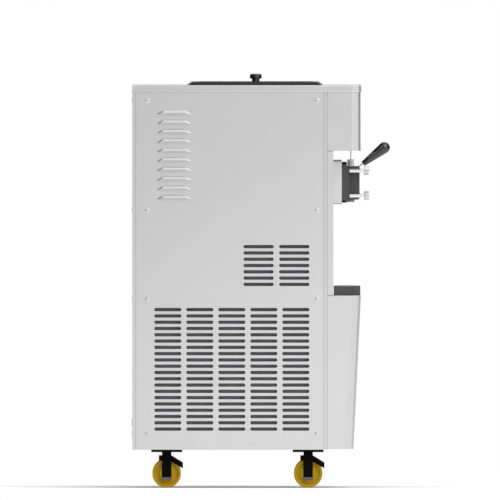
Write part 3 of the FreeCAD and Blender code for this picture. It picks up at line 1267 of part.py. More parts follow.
# Cable gland in the rear panel
def cable_gland():
    z = PANEL_BOTTOM + GLAND_RISE
    flange = rod_d(GLAND_X, -GLAND_FLANGE, 0, z, GLAND_FLANGE_RADIUS)
    barrel = rod_d(GLAND_X, 0, GLAND_LENGTH, z, GLAND_RADIUS)
    bore = rod_d(GLAND_X, -GLAND_FLANGE - EPS, GLAND_LENGTH + EPS, z, GLAND_BORE)
    return fused([flange, barrel]).cut(bore)


def all_parts():
    parts = {
        "base_pan": base_pan(),
        "frame_rails": frame_rails(),
        "rear_panel": rear_panel(),
        "front_panel": front_panel(),
        "lower_front_cover": lower_front_cover(),
        "control_housing": control_housing(),
        "control_fascia": control_fascia(),
        "top_cover": top_cover(),
        "panel_screws": panel_screws(),
        "hoppers": hoppers(),
        "freezing_cylinders": freezing_cylinders(),
        "gear_motors": gear_motors(),
        "cylinder_flange": cylinder_flange(),
        "door_seals": door_seals(),
        "freezer_door": freezer_door(),
        "spout_caps": spout_caps(),
        "lever_pivot_rod": lever_pivot_rod(),
        "hand_screws": hand_screws(),
        "drip_tray": drip_tray(),
        "drip_grid": drip_grid(),
        "caster_plates": caster_plates(),
        "condenser": condenser(),
        "fan_shroud": fan_shroud(),
        "cooling_fan": cooling_fan(),
        "compressor": compressor(),
        "refrigerant_pipes": refrigerant_pipes(),
        "electrical_box": electrical_box(),
        "cable_gland": cable_gland(),
    }
    for name, side in SIDES.items():
        parts[name + "_side_panel"] = side_panel(side)
        parts["hopper_lid_" + name] = hopper_lid(side)
        parts["lid_knob_" + name] = lid_knob(side)
        parts["beater_" + name] = beater(side)
    for name, x in SPOUTS.items():
        parts["draw_lever_" + name] = draw_lever(x)
        parts["lever_grip_" + name] = lever_grip(x)
        parts["draw_valve_" + name] = draw_valve(x)
    for i, (x, z) in enumerate(button_places()):
        parts["control_button_%d" % (i + 1)] = control_button(x, z)
    for name, (x, d) in caster_places().items():
        parts["caster_fork_" + name] = caster_fork(x, d)
        parts["caster_wheel_" + name] = caster_wheel(x, d)
        parts["brake_pedal_" + name] = brake_pedal(x, d)
    return parts


for node, shape in all_parts().items():
    shape.exportStep("parts/" + node + ".step")
print("valve lift %.3f mm over %.1f degrees" % (VALVE_LIFT, LEVER_SWING))
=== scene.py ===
import json
import math

import bmesh
import bpy
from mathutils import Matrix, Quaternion, Vector


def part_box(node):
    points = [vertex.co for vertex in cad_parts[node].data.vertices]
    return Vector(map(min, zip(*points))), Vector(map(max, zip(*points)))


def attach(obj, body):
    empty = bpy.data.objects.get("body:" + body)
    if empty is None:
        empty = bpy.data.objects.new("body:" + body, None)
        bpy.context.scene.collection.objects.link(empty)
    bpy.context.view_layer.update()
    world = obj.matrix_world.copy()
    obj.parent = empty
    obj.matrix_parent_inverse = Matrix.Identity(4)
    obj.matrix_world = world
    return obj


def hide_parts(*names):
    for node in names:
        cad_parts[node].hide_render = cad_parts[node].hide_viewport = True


# Floor-standing soft-serve machine, metres, front towards -Y and right side towards -X.
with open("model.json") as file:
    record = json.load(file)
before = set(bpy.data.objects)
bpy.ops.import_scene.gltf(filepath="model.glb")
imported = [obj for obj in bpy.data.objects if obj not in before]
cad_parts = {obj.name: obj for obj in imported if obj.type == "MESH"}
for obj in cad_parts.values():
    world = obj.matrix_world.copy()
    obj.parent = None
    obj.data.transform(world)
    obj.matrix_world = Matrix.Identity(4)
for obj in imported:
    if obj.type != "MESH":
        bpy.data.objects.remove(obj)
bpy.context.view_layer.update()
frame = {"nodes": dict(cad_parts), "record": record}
NODES = frame["nodes"]
BODY_OF = {node: body for body, nodes in frame["record"]["behaviour"]["bodies"].items() for node in nodes}
SIDES = ("right", "left")
SPOUTS = ("right", "centre", "left")
CORNERS = ("rear_right", "front_right", "rear_left", "front_left")

# Photograph's frame
VIEW_WIDTH = 1.75
VIEW_Y = 0.0382
VIEW_Z = 0.8307
VIEW_ELEVATION = math.radians(0.4)
CAMERA_DISTANCE = 4.0


# Materials
EVEN = (1, 1, 1)
BRUSHED = (1.0, 1.0, 0.02)
DRAWN = (1.0, 0.03, 1.0)
LAYERED = (0.05, 0.05, 1.0)
GRAIN_DETAIL = 4.0
PATCH_SCALE = 14.0
RELIEF_SCALE = 6.0
RELIEF_DETAIL = 2.0
WEAR_SHARE = 0.7
WEAR_EDGE = (0.52, 0.60)


def shader_nodes(name):
    material = bpy.data.materials.new(name)
    material.use_nodes = True
    tree = material.node_tree
    shader = tree.nodes["Principled BSDF"]
    return material, tree, shader


def wire(tree, source, target):
    tree.links.new(source, target)


def noise(tree, scale, detail=3.0, stretch=EVEN):
    """Noise in the part's own coordinates; scale is in waves per metre."""
    place = tree.nodes.new("ShaderNodeTexCoord")
    mapping = tree.nodes.new("ShaderNodeMapping")
    mapping.inputs["Scale"].default_value = stretch
    texture = tree.nodes.new("ShaderNodeTexNoise")
    texture.inputs["Scale"].default_value = scale
    texture.inputs["Detail"].default_value = detail
    wire(tree, place.outputs["Object"], mapping.inputs["Vector"])
    wire(tree, mapping.outputs["Vector"], texture.inputs["Vector"])
    return texture.outputs["Fac"]


def ranged(tree, value, low, high, start=0.3, stop=0.7):
    node = tree.nodes.new("ShaderNodeMapRange")
    node.inputs["From Min"].default_value = start
    node.inputs["From Max"].default_value = stop
    node.inputs["To Min"].default_value = low
    node.inputs["To Max"].default_value = high
    wire(tree, value, node.inputs["Value"])
    return node.outputs["Result"]


def mixed(tree, factor, first, second):
    node = tree.nodes.new("ShaderNodeMix")
    node.data_type = "RGBA"
    wire(tree, factor, node.inputs["Factor"])
    for socket, colour in ((node.inputs["A"], first), (node.inputs["B"], second)):
        if isinstance(colour, tuple):
            socket.default_value = (*colour, 1.0)
        else:
            wire(tree, colour, socket)
    return node.outputs["Result"]


def shade(colour, factor):
    return tuple(min(1.0, channel * factor) for channel in colour)


def grey(level):
    return (level, level, level)


def finish(name, colour, roughness, metallic=0.0, grain=60.0, stretch=EVEN, tint=0.06,
           patch=0.06, bump=0.1, bump_depth=0.0001, coat=0.0, wear=None, specular=0.5):
    """Procedural finish: grain in the colour, patches in the gloss, a fine bump and worn edges."""
    material, tree, shader = shader_nodes(name)
    body = mixed(tree, ranged(tree, noise(tree, grain, GRAIN_DETAIL, stretch), 0.0, 1.0),
                 shade(colour, 1.0 - tint), shade(colour, 1.0 + tint))
    if wear:
        geometry = tree.nodes.new("ShaderNodeNewGeometry")
        edge = ranged(tree, geometry.outputs["Pointiness"], 0.0, WEAR_SHARE, *WEAR_EDGE)
        body = mixed(tree, edge, body, wear)
    wire(tree, body, shader.inputs["Base Color"])
    gloss = ranged(tree, noise(tree, PATCH_SCALE), roughness - patch, roughness + patch)
    wire(tree, gloss, shader.inputs["Roughness"])
    relief = tree.nodes.new("ShaderNodeBump")
    relief.inputs["Strength"].default_value = bump
    relief.inputs["Distance"].default_value = bump_depth
    wire(tree, noise(tree, grain * RELIEF_SCALE, RELIEF_DETAIL, stretch), relief.inputs["Height"])
    wire(tree, relief.outputs["Normal"], shader.inputs["Normal"])
    shader.inputs["Metallic"].default_value = metallic
    shader.inputs["Coat Weight"].default_value = coat
    shader.inputs["Specular IOR Level"].default_value = specular
    return material


SHEET = finish("cabinet_sheet", grey(0.66), roughness=0.29, metallic=0.70, grain=2200.0, stretch=BRUSHED,
               tint=0.008, patch=0.015, bump=0.03, bump_depth=0.00002)
SCREW = finish("screw_steel", grey(0.66), roughness=0.28, metallic=0.75, grain=200.0, tint=0.05, patch=0.05)
STAINLESS = finish("stainless", grey(0.58), roughness=0.30, metallic=0.9, grain=500.0,
                   stretch=DRAWN, tint=0.05, patch=0.05)
INSULATION = finish("insulation", (0.045, 0.045, 0.05), roughness=0.85, grain=120.0, tint=0.2, patch=0.05,
                    bump=0.6, bump_depth=0.001)
FLANGE = finish("flange_metal", grey(0.68), roughness=0.34, metallic=0.70, grain=300.0, tint=0.02,
                patch=0.04, bump=0.05)
BEATER = finish("beater_plastic", (0.72, 0.72, 0.70), roughness=0.42, grain=90.0)
MOTOR = finish("motor_paint", (0.06, 0.065, 0.075), roughness=0.45, metallic=0.1, grain=120.0)
LID = finish("lid_plastic", grey(0.008), roughness=0.27, grain=260.0, tint=0.10, patch=0.05, bump=0.10,
             specular=0.25)
BLACK = finish("black_plastic", grey(0.004), roughness=0.12, grain=220.0, tint=0.12, patch=0.03, bump=0.04,
               coat=0.8)
# Rubber for the door seals, also used as painted shade in the front panel seams
RUBBER_AND_SEAM_SHADE = finish("seal_rubber", grey(0.05), roughness=0.72, grain=300.0, tint=0.15, patch=0.08, bump=0.3,
                bump_depth=0.0002, specular=0.2)
# Paler copy of the seam rubber: painted shade for the fainter shadow line in the rear seam
PALE_SEAM_SHADE = finish("pale_seam_shade", grey(0.30), roughness=0.60, grain=300.0, tint=0.08, patch=0.08,
                     bump=0.2, bump_depth=0.0002, specular=0.3)
DOOR = finish("door_plastic", grey(0.068), roughness=0.42, grain=240.0, bump=0.12, specular=0.35)
# Painted dark reflection: near-black for the rounded top and bottom ends of the door plate
DOOR_END_SHADE = finish("door_end_painted_shade", grey(0.006), roughness=0.50, grain=240.0, tint=0.10, bump=0.12, specular=0.1)
SPOUT = finish("spout_plastic", (0.41, 0.40, 0.43), roughness=0.45, grain=240.0, bump=0.12, specular=0.3)
VALVE = finish("valve_plastic", (0.84, 0.82, 0.92), roughness=0.70, grain=150.0, tint=0.03, patch=0.05,
               specular=0.2)
CHROME = finish("chrome", grey(0.78), roughness=0.09, metallic=1.0, grain=90.0, tint=0.02, patch=0.03,
                bump=0.03)
FASCIA = finish("fascia_plastic", (0.03, 0.032, 0.036), roughness=0.30, grain=240.0, tint=0.10, patch=0.05)
DISPLAY = finish("display_glass", (0.008, 0.012, 0.018), roughness=0.08, grain=40.0, tint=0.10, patch=0.03,
                 bump=0.02, coat=0.6)
LAMP = finish("lamp_plastic", (0.20, 0.42, 0.16), roughness=0.25, grain=300.0, tint=0.10, patch=0.05)
BUTTON = finish("button_plastic", (0.55, 0.56, 0.58), roughness=0.35, grain=200.0)
TRAY = finish("tray_plastic", grey(0.080), roughness=0.46, grain=260.0, tint=0.08, bump=0.2,
              bump_depth=0.0002, specular=0.3)
CASTER = finish("caster_black", grey(0.002), roughness=0.45, grain=160.0, tint=0.2, patch=0.08, bump=0.15,
                wear=grey(0.010), specular=0.03)
CASTER_FOOT = finish("caster_foot", (0.125, 0.13, 0.145), roughness=0.40, metallic=0.3, grain=160.0)
PEDAL_RIB = finish("pedal_rib", grey(0.035), roughness=0.40, grain=160.0, tint=0.15)
WHEEL = finish("wheel_yellow", (0.56, 0.34, 0.004), roughness=0.42, grain=130.0, tint=0.08, patch=0.07,
               specular=0.15)
FINS = finish("condenser_fins", (0.130, 0.127, 0.137), roughness=0.5, metallic=0.2, grain=500.0,
              stretch=LAYERED, tint=0.3, patch=0.05)
FAN = finish("fan_plastic", grey(0.03), roughness=0.5, grain=120.0)
COPPER = finish("copper", (0.55, 0.24, 0.12), roughness=0.32, metallic=0.9, tint=0.15, patch=0.08)
ELECTRICS = finish("electrics_grey", (0.130, 0.127, 0.137), roughness=0.5, grain=120.0)


# Mesh helpers
SMOOTH_ANGLE = math.radians(32)
FACET_SHARP = math.radians(16)
HEAD_SMOOTH = math.radians(40)
BEND_ANGLE = math.radians(28)
FLAT_ANGLE = math.radians(0.4)
WELD = 2e-6
TOLERANCE = 1e-4
SKIN_TOLERANCE = 1e-5


def linked(name, mesh, material, body):
    piece = bpy.data.objects.new(name, mesh)
    bpy.context.scene.collection.objects.link(piece)
    piece.data.materials.clear()
    piece.data.materials.append(material)
    normals = piece.modifiers.new("even_normals", "WEIGHTED_NORMAL")
    normals.keep_sharp = True
    normals.weight = 100
    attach(piece, body)
    return piece


def rounded(mesh, bm, sharp=SMOOTH_ANGLE):
    """Write the bmesh and shade it smooth up to the sharp angle."""
    bmesh.ops.recalc_face_normals(bm, faces=bm.faces)
    bm.to_mesh(mesh)
    bm.free()
    mesh.polygons.foreach_set("use_smooth", [True] * len(mesh.polygons))
    mesh.set_sharp_from_angle(angle=sharp)
    mesh.update()


def copied(node):
    """The node's solid as a clean bmesh, with its flat faces joined up."""
    bm = bmesh.new()
    bm.from_mesh(NODES[node].data)
    bmesh.ops.remove_doubles(bm, verts=bm.verts, dist=WELD)
    bmesh.ops.dissolve_limit(bm, angle_limit=FLAT_ANGLE, verts=bm.verts, edges=bm.edges)
    return bm


def bends(bm, chosen, offset, segments=3):
    """Round the chosen sharp outer edges of a bmesh."""
    edges = [edge for edge in bm.edges if len(edge.link_faces) == 2 and edge.is_convex
             and edge.calc_face_angle(0.0) > BEND_ANGLE and chosen(edge)]
    bmesh.ops.bevel(bm, geom=edges, offset=offset, segments=segments, profile=0.5,
                    affect="EDGES", clamp_overlap=True)


def level(axis, value):
    """Chooser of the edges that lie in one plane."""
    return lambda edge: all(abs(vert.co[axis] - value) < TOLERANCE for vert in edge.verts)


def anywhere(edge):
    return True


def dress(node, material, slot, *passes, slices=(), sharp=SMOOTH_ANGLE):
    """A copy of a node's solid with rounded edges, which stands for the node."""
    bm = copied(node)
    for chosen, offset, segments in passes:
        bends(bm, chosen, offset, segments)
    for axis, value in slices:
        place, normal = Vector((0, 0, 0)), Vector((0, 0, 0))
        place[axis], normal[axis] = value, 1.0
        geometry = list(bm.verts) + list(bm.edges) + list(bm.faces)
        bmesh.ops.bisect_plane(bm, geom=geometry, dist=1e-6, plane_co=place, plane_no=normal)
    mesh = bpy.data.meshes.new(node + "_finish")
    rounded(mesh, bm, sharp)
    piece = linked(node + "_finish", mesh, material, BODY_OF[node])
    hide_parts(node)
    return piece


def painted(piece, material, chosen):
    """Give the chosen faces of a piece a second finish."""
    piece.data.materials.append(material)
    number = len(piece.data.materials) - 1
    for face in piece.data.polygons:
        if chosen(face):
            face.material_index = number


def prism(bm, section, along):
    """Closed prism of a flat section moved along a vector."""
    near = [bm.verts.new(point) for point in section]
    far = [bm.verts.new(point + along) for point in section]
    for i in range(len(section)):
        j = (i + 1) % len(section)
        bm.faces.new((near[i], near[j], far[j], far[i]))
    bm.faces.new(list(reversed(near)))
    bm.faces.new(far)


def islands(bm):
    """Lowest and highest corner of each separate solid in a bmesh."""
    boxes = []
    waiting = set(bm.verts)
    while waiting:
        first = waiting.pop()
        found, fringe = [first], [first]
        while fringe:
            vert = fringe.pop()
            for edge in vert.link_edges:
                other = edge.other_vert(vert)
                if other in waiting:
                    waiting.discard(other)
                    found.append(other)
                    fringe.append(other)
        corners = [[pick(vert.co[axis] for vert in found) for axis in range(3)] for pick in (min, max)]
        boxes.append((Vector(corners[0]), Vector(corners[1])))
    return sorted(boxes, key=lambda box: tuple(box[0]))


def plain(node, material):
    """Give a node's own solid its finish."""
    for slot in NODES[node].material_slots:
        slot.material = material


# Sheet covers with bent edges
COVER_LOW, COVER_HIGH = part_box("top_cover")
HOUSING_LOW, HOUSING_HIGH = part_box("control_housing")
LOWER_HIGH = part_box("lower_front_cover")[1]
PANEL_LOW, PANEL_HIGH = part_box("left_side_panel")
FRONT_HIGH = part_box("front_panel")[1]
HALF_WIDTH = HOUSING_HIGH.x
LOUVRE_RIDGE_OUT = 0.005
LOUVRE_RIDGE = HALF_WIDTH + LOUVRE_RIDGE_OUT
SIDEWAYS, FORWARDS, UP = 0, 1, 2
COVER_BEND = 0.0042
HEM_HEIGHT = 0.0036
HEM_BEND = 0.0016
HOUSING_BEND = 0.0025
RIM_BEND = 0.0042
SLOT_LIP = 0.0010
LOUVRE_BEND = 0.0052
EDGE_BREAK = 0.0005
WALL_TILT = 0.3
SILL_TILT = 0.3


def outside(edge):
    """Edges on the outer walls of the top cover, away from the hopper mouths."""
    middle = (edge.verts[0].co + edge.verts[1].co) / 2
    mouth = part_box("hoppers")
    return not (mouth[0].x < middle.x < mouth[1].x and mouth[0].y < middle.y < mouth[1].y)


def outer_wall(edge):
    """Edges of the walls that face away from the machine's middle."""
    middle = (edge.verts[0].co + edge.verts[1].co) / 2
    return any(abs(face.normal.z) < WALL_TILT and face.normal.x * middle.x + face.normal.y * middle.y > 0
               for face in edge.link_faces)


def cover_top(edge):
    return level(UP, COVER_HIGH.z)(edge) and outside(edge)


def cover_hem(edge):
    low, high = level(UP, COVER_LOW.z), level(UP, COVER_LOW.z + HEM_HEIGHT)
    return (low(edge) or high(edge)) and outer_wall(edge)


def slot_sill(edge):
    """Lower lips of the vent slots, on the outer skin."""
    on_skin = all(abs(abs(vert.co.x) - HALF_WIDTH) < SKIN_TOLERANCE for vert in edge.verts)
    return on_skin and any(face.normal.z > SILL_TILT for face in edge.link_faces)


def louvre_ridge(edge):
    return all(abs(abs(vert.co.x) - LOUVRE_RIDGE) < TOLERANCE for vert in edge.verts)


def rim(node, height):
    """Chooser of the edges round a front cover at one height, without the open edge at its back."""
    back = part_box(node)[1].y
    flat = level(UP, height)
    return lambda edge: flat(edge) and min(vert.co.y for vert in edge.verts) < back - TOLERANCE


dress("top_cover", SHEET, "cabinet_sheet", (cover_top, COVER_BEND, 5), (cover_hem, HEM_BEND, 3))
dress("control_housing", SHEET, "cabinet_sheet", (rim("control_housing", HOUSING_LOW.z), HOUSING_BEND, 4),
      (rim("control_housing", HOUSING_HIGH.z), EDGE_BREAK, 2))
dress("lower_front_cover", SHEET, "cabinet_sheet", (rim("lower_front_cover", LOWER_HIGH.z), RIM_BEND, 5))
for side in SIDES:
    dress(side + "_side_panel", SHEET, "cabinet_sheet", (louvre_ridge, LOUVRE_BEND, 6),
          (slot_sill, SLOT_LIP, 2), sharp=FACET_SHARP)
dress("front_panel", SHEET, "cabinet_sheet", (rim("front_panel", FRONT_HIGH.z), RIM_BEND, 5))
dress("rear_panel", SHEET, "cabinet_sheet", (anywhere, EDGE_BREAK, 2))


# Painted shade in the seams between the panels: strips that stand for the shadow in the gaps, dark at the
# front and paler at the back
SEAM = 0.001
SHEET_THICKNESS = 0.0012
SEAM_SHADE_DEPTH = 0.008
SEAM_SHADE_RECESS = 0.0004
SEAM_SHADE_CROWN = 0.0003


# Each strip fills a seam gap with a dark section, painted shade for the shadow in the gap
def seam_shade_strips(name, material, seams):
    bm = bmesh.new()
    for sign in (-1, 1):
        for y0, y1, inner in seams:
            outer = HALF_WIDTH - SEAM_SHADE_RECESS
            shoulder = outer - SEAM_SHADE_CROWN
            section = [(inner, y0), (inner, y1), (shoulder, y1), (outer, (y0 + y1) / 2), (shoulder, y0)]
            prism(bm, [Vector((sign * x, y, PANEL_LOW.z)) for x, y in section],
                  Vector((0, 0, PANEL_HIGH.z - PANEL_LOW.z)))
    mesh = bpy.data.meshes.new(name)
    rounded(mesh, bm)
    linked(name, mesh, material, "cabinet")


PANEL_INNER = HALF_WIDTH - SHEET_THICKNESS
# Painted shade: dark strips in the front seams stand for the shadow in the gaps
seam_shade_strips("front_seam_shade", RUBBER_AND_SEAM_SHADE, [(PANEL_LOW.y - SEAM, PANEL_LOW.y, PANEL_INNER),
                                  (LOWER_HIGH.y, LOWER_HIGH.y + SEAM, HALF_WIDTH - SEAM_SHADE_DEPTH)])
# Painted shade: a paler strip in the rear seam stands for its fainter shadow line
seam_shade_strips("rear_seam_shade", PALE_SEAM_SHADE, [(PANEL_HIGH.y, PANEL_HIGH.y + SEAM, PANEL_INNER)])


# Pan-head screws with a cross recess; the profile is (radius, drop below the crown)
HEAD_PROFILE = [(0.0085, 0.0012), (0.0083, 0.0008), (0.0073, 0.0004), (0.0058, 0.00015), (0.0043, 0.00005),
                (0.0037, 0.0), (0.0030, 0.0), (0.0022, 0.0), (0.0014, 0.0), (0.0009, 0.0)]
HEAD_STEPS = 40
HEAD_TURN = math.radians(22)
RECESS_HALF = 0.0010
RECESS_REACH = 0.0041
RECESS_DEPTH = 0.0007


def screw_heads():
    source = bmesh.new()
    source.from_mesh(NODES["panel_screws"].data)
    bmesh.ops.remove_doubles(source, verts=source.verts, dist=WELD)
    bm = bmesh.new()
    for low, high in islands(source):
        size = high - low
        axis = SIDEWAYS if size.x < size.y else FORWARDS
        middle = (low + high) / 2
        outward = Vector((0, 0, 0))
        outward[axis] = 1.0 if middle[axis] > 0 else -1.0
        crown = middle.copy()
        crown[axis] = high[axis] if middle[axis] > 0 else low[axis]
        across = Vector((0, 0, 1)).cross(outward)
        turned_head(bm, crown, outward, across)
    source.free()
    mesh = bpy.data.meshes.new("screw_heads")
    rounded(mesh, bm, HEAD_SMOOTH)
    piece = linked("screw_heads", mesh, SCREW, "cabinet")
    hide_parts("panel_screws")


def turned_head(bm, crown, outward, across):
    """One domed head below its crown point; the vertices inside the cross are pressed in."""
    rings = []
    for radius, drop in HEAD_PROFILE:
        ring = []
        for i in range(HEAD_STEPS):
            turn = 2 * math.pi * (i + 0.5) / HEAD_STEPS + HEAD_TURN
            u, v = radius * math.cos(turn), radius * math.sin(turn)
            near, far = sorted((abs(u), abs(v)))
            sunk = RECESS_DEPTH if near < RECESS_HALF and far < RECESS_REACH else 0.0
            place = crown + across * (u * math.cos(HEAD_TURN) + v * math.sin(HEAD_TURN))
            place += Vector((0, 0, 1)) * (v * math.cos(HEAD_TURN) - u * math.sin(HEAD_TURN))
            ring.append(bm.verts.new(place - outward * (drop + sunk)))
        rings.append(ring)
    for outer, inner in zip(rings, rings[1:]):
        for i in range(HEAD_STEPS):
            j = (i + 1) % HEAD_STEPS
            bm.faces.new((outer[i], outer[j], inner[j], inner[i]))
    bm.faces.new(rings[-1])
    bm.faces.new(list(reversed(rings[0])))


screw_heads()


# Lids, head, tray and casters with rounded edges
FINE_EDGE = 0.0004
THIN_EDGE = 0.0006
EDGE = 0.0008
SOFT_EDGE = 0.0009
ROUND_EDGE = 0.0012
GRIP_EDGE = 0.0015
TYRE_EDGE = 0.0025
LID_BORDER = 0.016
LID_STEP = 0.003
LID_DISH = 0.0012


def dished(mesh):
    """Sink the lid's flat top inside a border."""
    bm = bmesh.new()
    bm.from_mesh(mesh)
    top = max((face for face in bm.faces if face.normal.z > 0.99), key=lambda face: face.calc_area())
    bmesh.ops.inset_region(bm, faces=[top], thickness=LID_BORDER, use_even_offset=True)
    bmesh.ops.inset_region(bm, faces=[top], thickness=LID_STEP, depth=-LID_DISH, use_even_offset=True)
    rounded(mesh, bm, FACET_SHARP)


for side in SIDES:
    lid = dress("hopper_lid_" + side, LID, "lid_plastic", (anywhere, SOFT_EDGE, 3))
    dished(lid.data)
    dress("lid_knob_" + side, BLACK, "black_plastic", (anywhere, EDGE, 3))
dress("cylinder_flange", FLANGE, "flange_metal", (anywhere, THIN_EDGE, 3))
dress("drip_tray", TRAY, "tray_plastic", (anywhere, ROUND_EDGE, 3))
dress("drip_grid", STAINLESS, "stainless", (anywhere, THIN_EDGE, 2))
dress("control_fascia", FASCIA, "fascia_plastic", (anywhere, EDGE_BREAK, 2))
dress("hand_screws", CHROME, "chrome", (anywhere, ROUND_EDGE, 3))
dress("spout_caps", SPOUT, "door_plastic", (anywhere, FINE_EDGE, 2))
dress("caster_plates", CASTER, "caster_black", (anywhere, SOFT_EDGE, 2))
dress("cable_gland", BLACK, "black_plastic", (anywhere, EDGE, 3))
for number in (1, 2, 3):
    dress("control_button_%d" % number, BUTTON, "button_plastic", (anywhere, SOFT_EDGE, 3))

DOOR_LOW, DOOR_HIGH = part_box("freezer_door")
PLATE_DEPTH = 0.0179
PLATE_END = 0.007
PLATE_MARGIN = 0.0002
door = dress("freezer_door", DOOR, "door_plastic", (anywhere, EDGE, 3),
             slices=((UP, DOOR_LOW.z + PLATE_END), (UP, DOOR_HIGH.z - PLATE_END)))
# Painted dark reflection: the plate's top and bottom ends are coloured near-black, standing for the dark
# surround mirrored in their rounded ends
painted(door, DOOR_END_SHADE, lambda face: face.center.y > DOOR_HIGH.y - PLATE_DEPTH - PLATE_MARGIN and
        not DOOR_LOW.z + PLATE_END < face.center.z < DOOR_HIGH.z - PLATE_END)

PIN_REACH = 0.0024
for spout in SPOUTS:
    valve = dress("draw_valve_" + spout, VALVE, "valve_plastic", (anywhere, THIN_EDGE, 2))
    low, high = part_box("draw_valve_" + spout)
    axis = (low + high) / 2
    points = valve.data.vertices
    painted(valve, SHEET, lambda face: all(
        math.hypot(points[i].co.x - axis.x, points[i].co.y - axis.y) < PIN_REACH for i in face.vertices))
    dress("lever_grip_" + spout, BLACK, "black_plastic", (anywhere, GRIP_EDGE, 3))

FOOT_BAND = 0.010
FORK_EDGE = 0.0007
for corner in CORNERS:
    low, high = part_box("caster_fork_" + corner)
    fork = dress("caster_fork_" + corner, CASTER, "caster_black", (anywhere, FORK_EDGE, 2),
                 slices=((UP, low.z + FOOT_BAND),))
    foot_top = low.z + FOOT_BAND
    painted(fork, CASTER_FOOT, lambda face: face.center.z < foot_top)
    dress("caster_wheel_" + corner, WHEEL, "wheel_yellow", (anywhere, TYRE_EDGE, 4))
    dress("brake_pedal_" + corner, CASTER, "caster_black", (anywhere, THIN_EDGE, 2))


# Ribs across the brake pedals
RIB_COUNT = 7
RIB_MARGIN = 0.0015
RIB_WIDTH = 0.0034
RIB_RISE = 0.0010
RIB_SINK = 0.0002
RIB_START = 0.7
RIB_CROWN = 0.5


def pedal_ribs(corner):
    node = "brake_pedal_" + corner
    mesh = NODES[node].data
    slope = [polygon for polygon in mesh.polygons if polygon.normal.z > 0.5 and abs(polygon.normal.y) > 0.2]
    points = [mesh.vertices[i].co for polygon in slope for i in polygon.vertices]
    heel = max(points, key=lambda point: point.z)
    tip = min(points, key=lambda point: point.z)
    left = min(point.x for point in points) + RIB_MARGIN
    right = max(point.x for point in points) - RIB_MARGIN
    along = Vector((0, tip.y - heel.y, tip.z - heel.z))
    lift = slope[0].normal
    step = along.normalized() * RIB_WIDTH / 2
    bm = bmesh.new()
    for i in range(RIB_COUNT):
        middle = Vector((left, heel.y, heel.z)) + along * (i + RIB_START) / RIB_COUNT
        foot, crown = middle - lift * RIB_SINK, middle + lift * RIB_RISE
        section = [foot - step, foot + step, crown + step * RIB_CROWN, crown - step * RIB_CROWN]
        prism(bm, section, Vector((right - left, 0, 0)))
    ribs = bpy.data.meshes.new("pedal_ribs_" + corner)
    rounded(ribs, bm)
    linked("pedal_ribs_" + corner, ribs, PEDAL_RIB, BODY_OF[node])


for corner in CORNERS:
    pedal_ribs(corner)


# Control fascia: dark display with a bezel, rings round the buttons and small lamps
FASCIA_LOW, FASCIA_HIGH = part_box("control_fascia")
FASCIA_FACE = FASCIA_LOW.y
FASCIA_MIDDLE = (FASCIA_LOW.z + FASCIA_HIGH.z) / 2


def rounded_outline(half_width, half_height, corner, steps=6):
    points = []
    for sx, sz, start in ((1, 1, 0), (-1, 1, 90), (-1, -1, 180), (1, -1, 270)):
        for i in range(steps + 1):
            turn = math.radians(start + 90 * i / steps)
            points.append((sx * (half_width - corner) + corner * math.cos(turn),
                           sz * (half_height - corner) + corner * math.sin(turn)))
    return points


def front_plate(name, place, layers, material):
    """Plate on the fascia built up from (half width, half height, corner, proud) outlines."""
    bm = bmesh.new()
    loops = []
    for half_width, half_height, corner, proud in layers:
        loops.append([bm.verts.new((place.x + x, place.y - proud, place.z + z))
                      for x, z in rounded_outline(half_width, half_height, corner)])
    for outer, inner in zip(loops, loops[1:]):
        for i in range(len(outer)):
            j = (i + 1) % len(outer)
            bm.faces.new((outer[i], outer[j], inner[j], inner[i]))
    bm.faces.new(loops[-1])
    bm.faces.new(list(reversed(loops[0])))
    mesh = bpy.data.meshes.new(name)
    rounded(mesh, bm)
    linked(name, mesh, material, "cabinet")


def front_ring(name, place, profile, material, steps=40):
    """Ring round an axis towards the front, from a closed (radius, proud) profile."""
    bm = bmesh.new()
    rings = []
    for i in range(steps):
        turn = 2 * math.pi * i / steps
        rings.append([bm.verts.new((place.x + radius * math.cos(turn), place.y - proud,
                                    place.z + radius * math.sin(turn))) for radius, proud in profile])
    for i in range(steps):
        first, second = rings[i], rings[(i + 1) % steps]
        for k in range(len(profile)):
            n = (k + 1) % len(profile)
            bm.faces.new((first[k], first[n], second[n], second[k]))
    mesh = bpy.data.meshes.new(name)
    rounded(mesh, bm)
    linked(name, mesh, material, "cabinet")


DISPLAY_RISE = 0.026
DISPLAY_PLACE = Vector((0, FASCIA_FACE, FASCIA_MIDDLE + DISPLAY_RISE))
BEZEL_LAYERS = [(0.070, 0.0265, 0.006, 0.0), (0.0694, 0.0259, 0.0054, 0.0009),
                (0.0665, 0.0230, 0.0030, 0.0009), (0.0660, 0.0225, 0.0026, 0.0003)]
WINDOW_LAYERS = [(0.0660, 0.0225, 0.0026, 0.0003), (0.0657, 0.0222, 0.0024, 0.0006),
                 (0.0650, 0.0215, 0.0020, 0.0007)]
front_plate("display_bezel", DISPLAY_PLACE, BEZEL_LAYERS, STAINLESS)
front_plate("display_window", DISPLAY_PLACE, WINDOW_LAYERS, DISPLAY)
RING_PROFILE = [(0.0105, 0.0), (0.0105, 0.0008), (0.0110, 0.0011), (0.0126, 0.0009), (0.0130, 0.0)]
LAMP_PROFILE = [(0.0003, 0.0), (0.0024, 0.0), (0.0021, 0.0008), (0.0012, 0.0013), (0.0003, 0.0015)]
LAMP_RISE = 0.0185
for number in (1, 2, 3):
    low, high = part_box("control_button_%d" % number)
    button = Vector(((low.x + high.x) / 2, FASCIA_FACE, (low.z + high.z) / 2))
    front_ring("button_ring_%d" % number, button, RING_PROFILE, CHROME)
    front_ring("button_lamp_%d" % number, button + Vector((0, 0, LAMP_RISE)), LAMP_PROFILE, LAMP)

